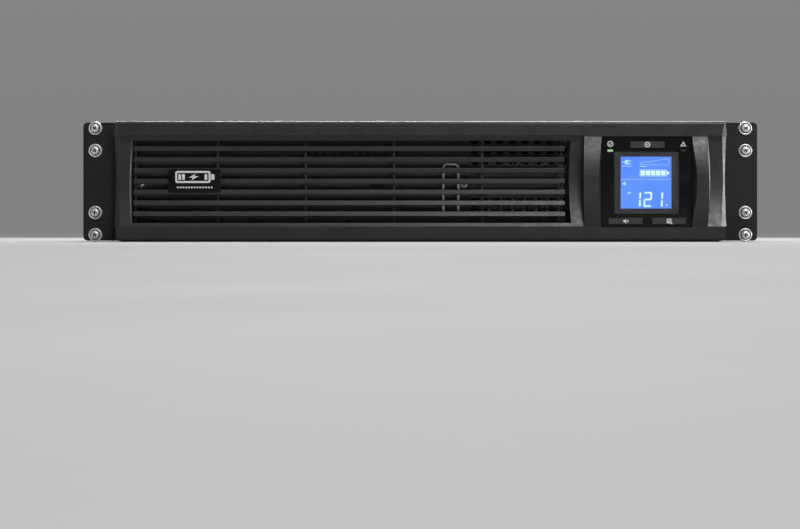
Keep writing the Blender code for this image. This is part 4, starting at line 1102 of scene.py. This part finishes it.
def screen_outlines():
    """What the screen shows, in millimetres from its lit area's lower left corner, bright parts first."""
    plug = [arc(0, 0, 1.75, 90, 270, 10) + [(0.9, -1.75), (0.9, 1.75)], rectangle(-3.2, -0.3, -1.6, 0.3)]
    plug += [rectangle(0.75, z - 0.28, 3.0, z + 0.28) for z in (-1.0, 1.0)]
    wedge = [(13.9, 30.9), (34.2, 30.6), (34.2, 35.3), (13.9, 32.5)]
    faint = [moved(part, 4.4, 32.8) for part in (plug[:1], plug[1:2], plug[2:])]
    faint += [
        [rectangle(x, 29.7, x + 0.9, 30.3) for x in (1.3, 2.7, 4.1, 5.5, 6.9)],
        [wedge, [(14.2, 31.17), (33.92, 30.88), (33.92, 34.96), (14.2, 32.24)]],
        [rectangle(13.9, 29.5, 18.6, 30.1)],
        [rectangle(0.4, 20.6, 35.5, 20.88)],
        moved([speaker(0.98)], 3.1, 17.6),
        [rectangle(4.9, 10.5, 7.2, 11.6)],
        [[(31.8, 2.9), (32.9, 1.5), (33.6, 2.9)]],
    ]
    bright = [
        [rounded(13.5, 22.8, 32.5, 27.5, 0.4, 2), rectangle(13.8, 23.1, 32.2, 27.2)],
        [rectangle(14.15 + 3.6 * i, 23.45, 17.3 + 3.6 * i, 26.85) for i in range(5)],
        [[(32.7, 23.6), (34.4, 24.7), (34.4, 25.6), (32.7, 26.7)]],
    ]
    for text, right in (("1", 14.3), ("2", 22.1), ("1", 29.9)):
        bright.extend([bar] for bar in digit(text, right, 1.1))
    return bright, faint


def make_screen():
    """A dark surround behind the window, and what the lit cell shows."""
    low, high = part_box("lcd_cell")
    inset = (2.6, 4.2, 2.7, 3.5)
    left, foot = low.x + inset[0] * MM, low.z + inset[1] * MM
    right, head = high.x - inset[2] * MM, high.z - inset[3] * MM
    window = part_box("display_window")
    past = 0.7 * MM
    outer = rectangle(window[0].x - past, window[0].z - past, window[1].x + past, window[1].z + past)
    hole = rectangle(left, foot, right, head)
    surround = slab("screen_surround", [outer, hole], low.y - 0.25 * MM, low.y - 0.1 * MM)
    keep("screen_surround", surround, "chassis", DARK_FILM)
    near, far = low.y - 0.09 * MM, low.y - 0.02 * MM
    names = ("screen_marks", "screen_marks_faint")
    for name, shapes, look in zip(names, screen_outlines(), (LIT_MARK, FAINT_MARK)):
        meshes = [slab("lit", moved(outlines, left, foot, MM), near, far) for outlines in shapes]
        keep(name, merged(name, meshes), "chassis", look)


make_screen()


# -------- studio


def soft_light(name, place, aim, size, radiance, beam=180):
    """A rectangular softbox of this brightness, unseen by the camera itself.

    A beam under 180 degrees keeps the light off what lies to its sides.
    """
    data = bpy.data.lights.new(name, "AREA")
    data.shape = "RECTANGLE"
    data.size, data.size_y = size
    data.spread = math.radians(beam)
    half = data.spread / 2
    gain = 1.0 if beam == 180 else math.tan(half) / (math.tan(half) - half)
    data.energy = math.pi * size[0] * size[1] * radiance / gain
    light = loose(name, data)
    light.location = place
    light.rotation_euler = (Vector(aim) - Vector(place)).to_track_quat("-Z", "Y").to_euler()
    light.visible_camera = False


def make_floor():
    look = Look("floor_look")
    clouds = look.spread(look.noise(0.3, 3.0), 0, 1)
    look.colour(look.blend(clouds, (0.43, 0.43, 0.435), (0.46, 0.46, 0.46)))
    look.roughness(look.spread(look.noise(0.05, 3.0), 0.75, 0.85))
    look.set(Specular_IOR_Level=0.1)
    look.relief(look.noise(0.004, 2.0), 0.00004)
    half = 30.0
    mesh = bpy.data.meshes.new("floor")
    corners = [(x, y, 0) for x, y in rectangle(-half, -half, half, half)]
    mesh.from_pydata(corners, [], [(0, 1, 2, 3)])
    floor = loose("floor", mesh)
    floor.data.materials.append(look.material)


def make_world():
    """A grey room that is brighter overhead than at the horizon, and darkest in front."""
    world = bpy.data.worlds.new("studio")
    world.use_nodes = True
    tree = world.node_tree
    way = tree.nodes.new("ShaderNodeSeparateXYZ")
    tree.links.new(tree.nodes.new("ShaderNodeTexCoord").outputs["Generated"], way.inputs[0])
    shares = []
    for axis, low, high in (("Z", 0.05, 0.9), ("Y", -0.6, 0.6)):
        share = tree.nodes.new("ShaderNodeMapRange")
        tree.links.new(way.outputs[axis], share.inputs["Value"])
        share.inputs["From Min"].default_value = low
        share.inputs["From Max"].default_value = high
        shares.append(share.outputs["Result"])
    horizon = tree.nodes.new("ShaderNodeMix")
    overhead = tree.nodes.new("ShaderNodeMix")
    for mix, share, colours in (
        (horizon, shares[1], ((0.03, 0.031, 0.032), (0.22, 0.223, 0.227))),
        (overhead, shares[0], (None, (0.38, 0.385, 0.395))),
    ):
        mix.data_type = "RGBA"
        tree.links.new(share, mix.inputs["Factor"])
        for socket, colour in zip((mix.inputs[6], mix.inputs[7]), colours):
            if colour:
                socket.default_value = (*colour, 1)
    tree.links.new(horizon.outputs[2], overhead.inputs[6])
    tree.links.new(overhead.outputs[2], tree.nodes["Background"].inputs["Color"])
    bpy.context.scene.world = world
    bpy.context.scene.view_settings.view_transform = "Standard"


def make_studio():
    make_floor()
    make_world()
    overhead = bpy.data.lights.new("overhead_light", "SUN")
    overhead.energy, overhead.angle = 0.7, math.radians(35)
    sun = loose("overhead_light", overhead)
    sun.rotation_euler = Vector((0.2, -0.15, 0.97)).to_track_quat("Z", "Y").to_euler()
    soft_light("key_light", (0.58, -1.95, 1.18), (0.2, -0.2, 0.04), (0.62, 0.42), 19.0)
    soft_light("side_light", (1.4, -0.24, 0.2), (0.0, -0.24, 0.05), (0.6, 0.3), 30.0, 40)
    soft_light("rim_light", (0.01, 0.60, 0.92), (0.01, -0.19, 0.086), (0.80, 0.05), 125.0)


def make_camera():
    """Straight on to the front, a little left of its middle, just above its underside."""
    away, wide, aside, above = 1.4, 0.5728, -0.0145, 0.0062
    data = bpy.data.cameras.new("camera")
    data.sensor_width = 36
    data.lens = data.sensor_width * away / wide
    data.shift_y = -0.0394
    data.clip_start = 0.02
    camera = loose("camera", data)
    camera.location = (aside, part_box("rack_ear_left")[0].y - away, above)
    camera.rotation_euler = (math.pi / 2, 0, 0)
    bpy.context.scene.camera = camera


make_studio()
make_camera()
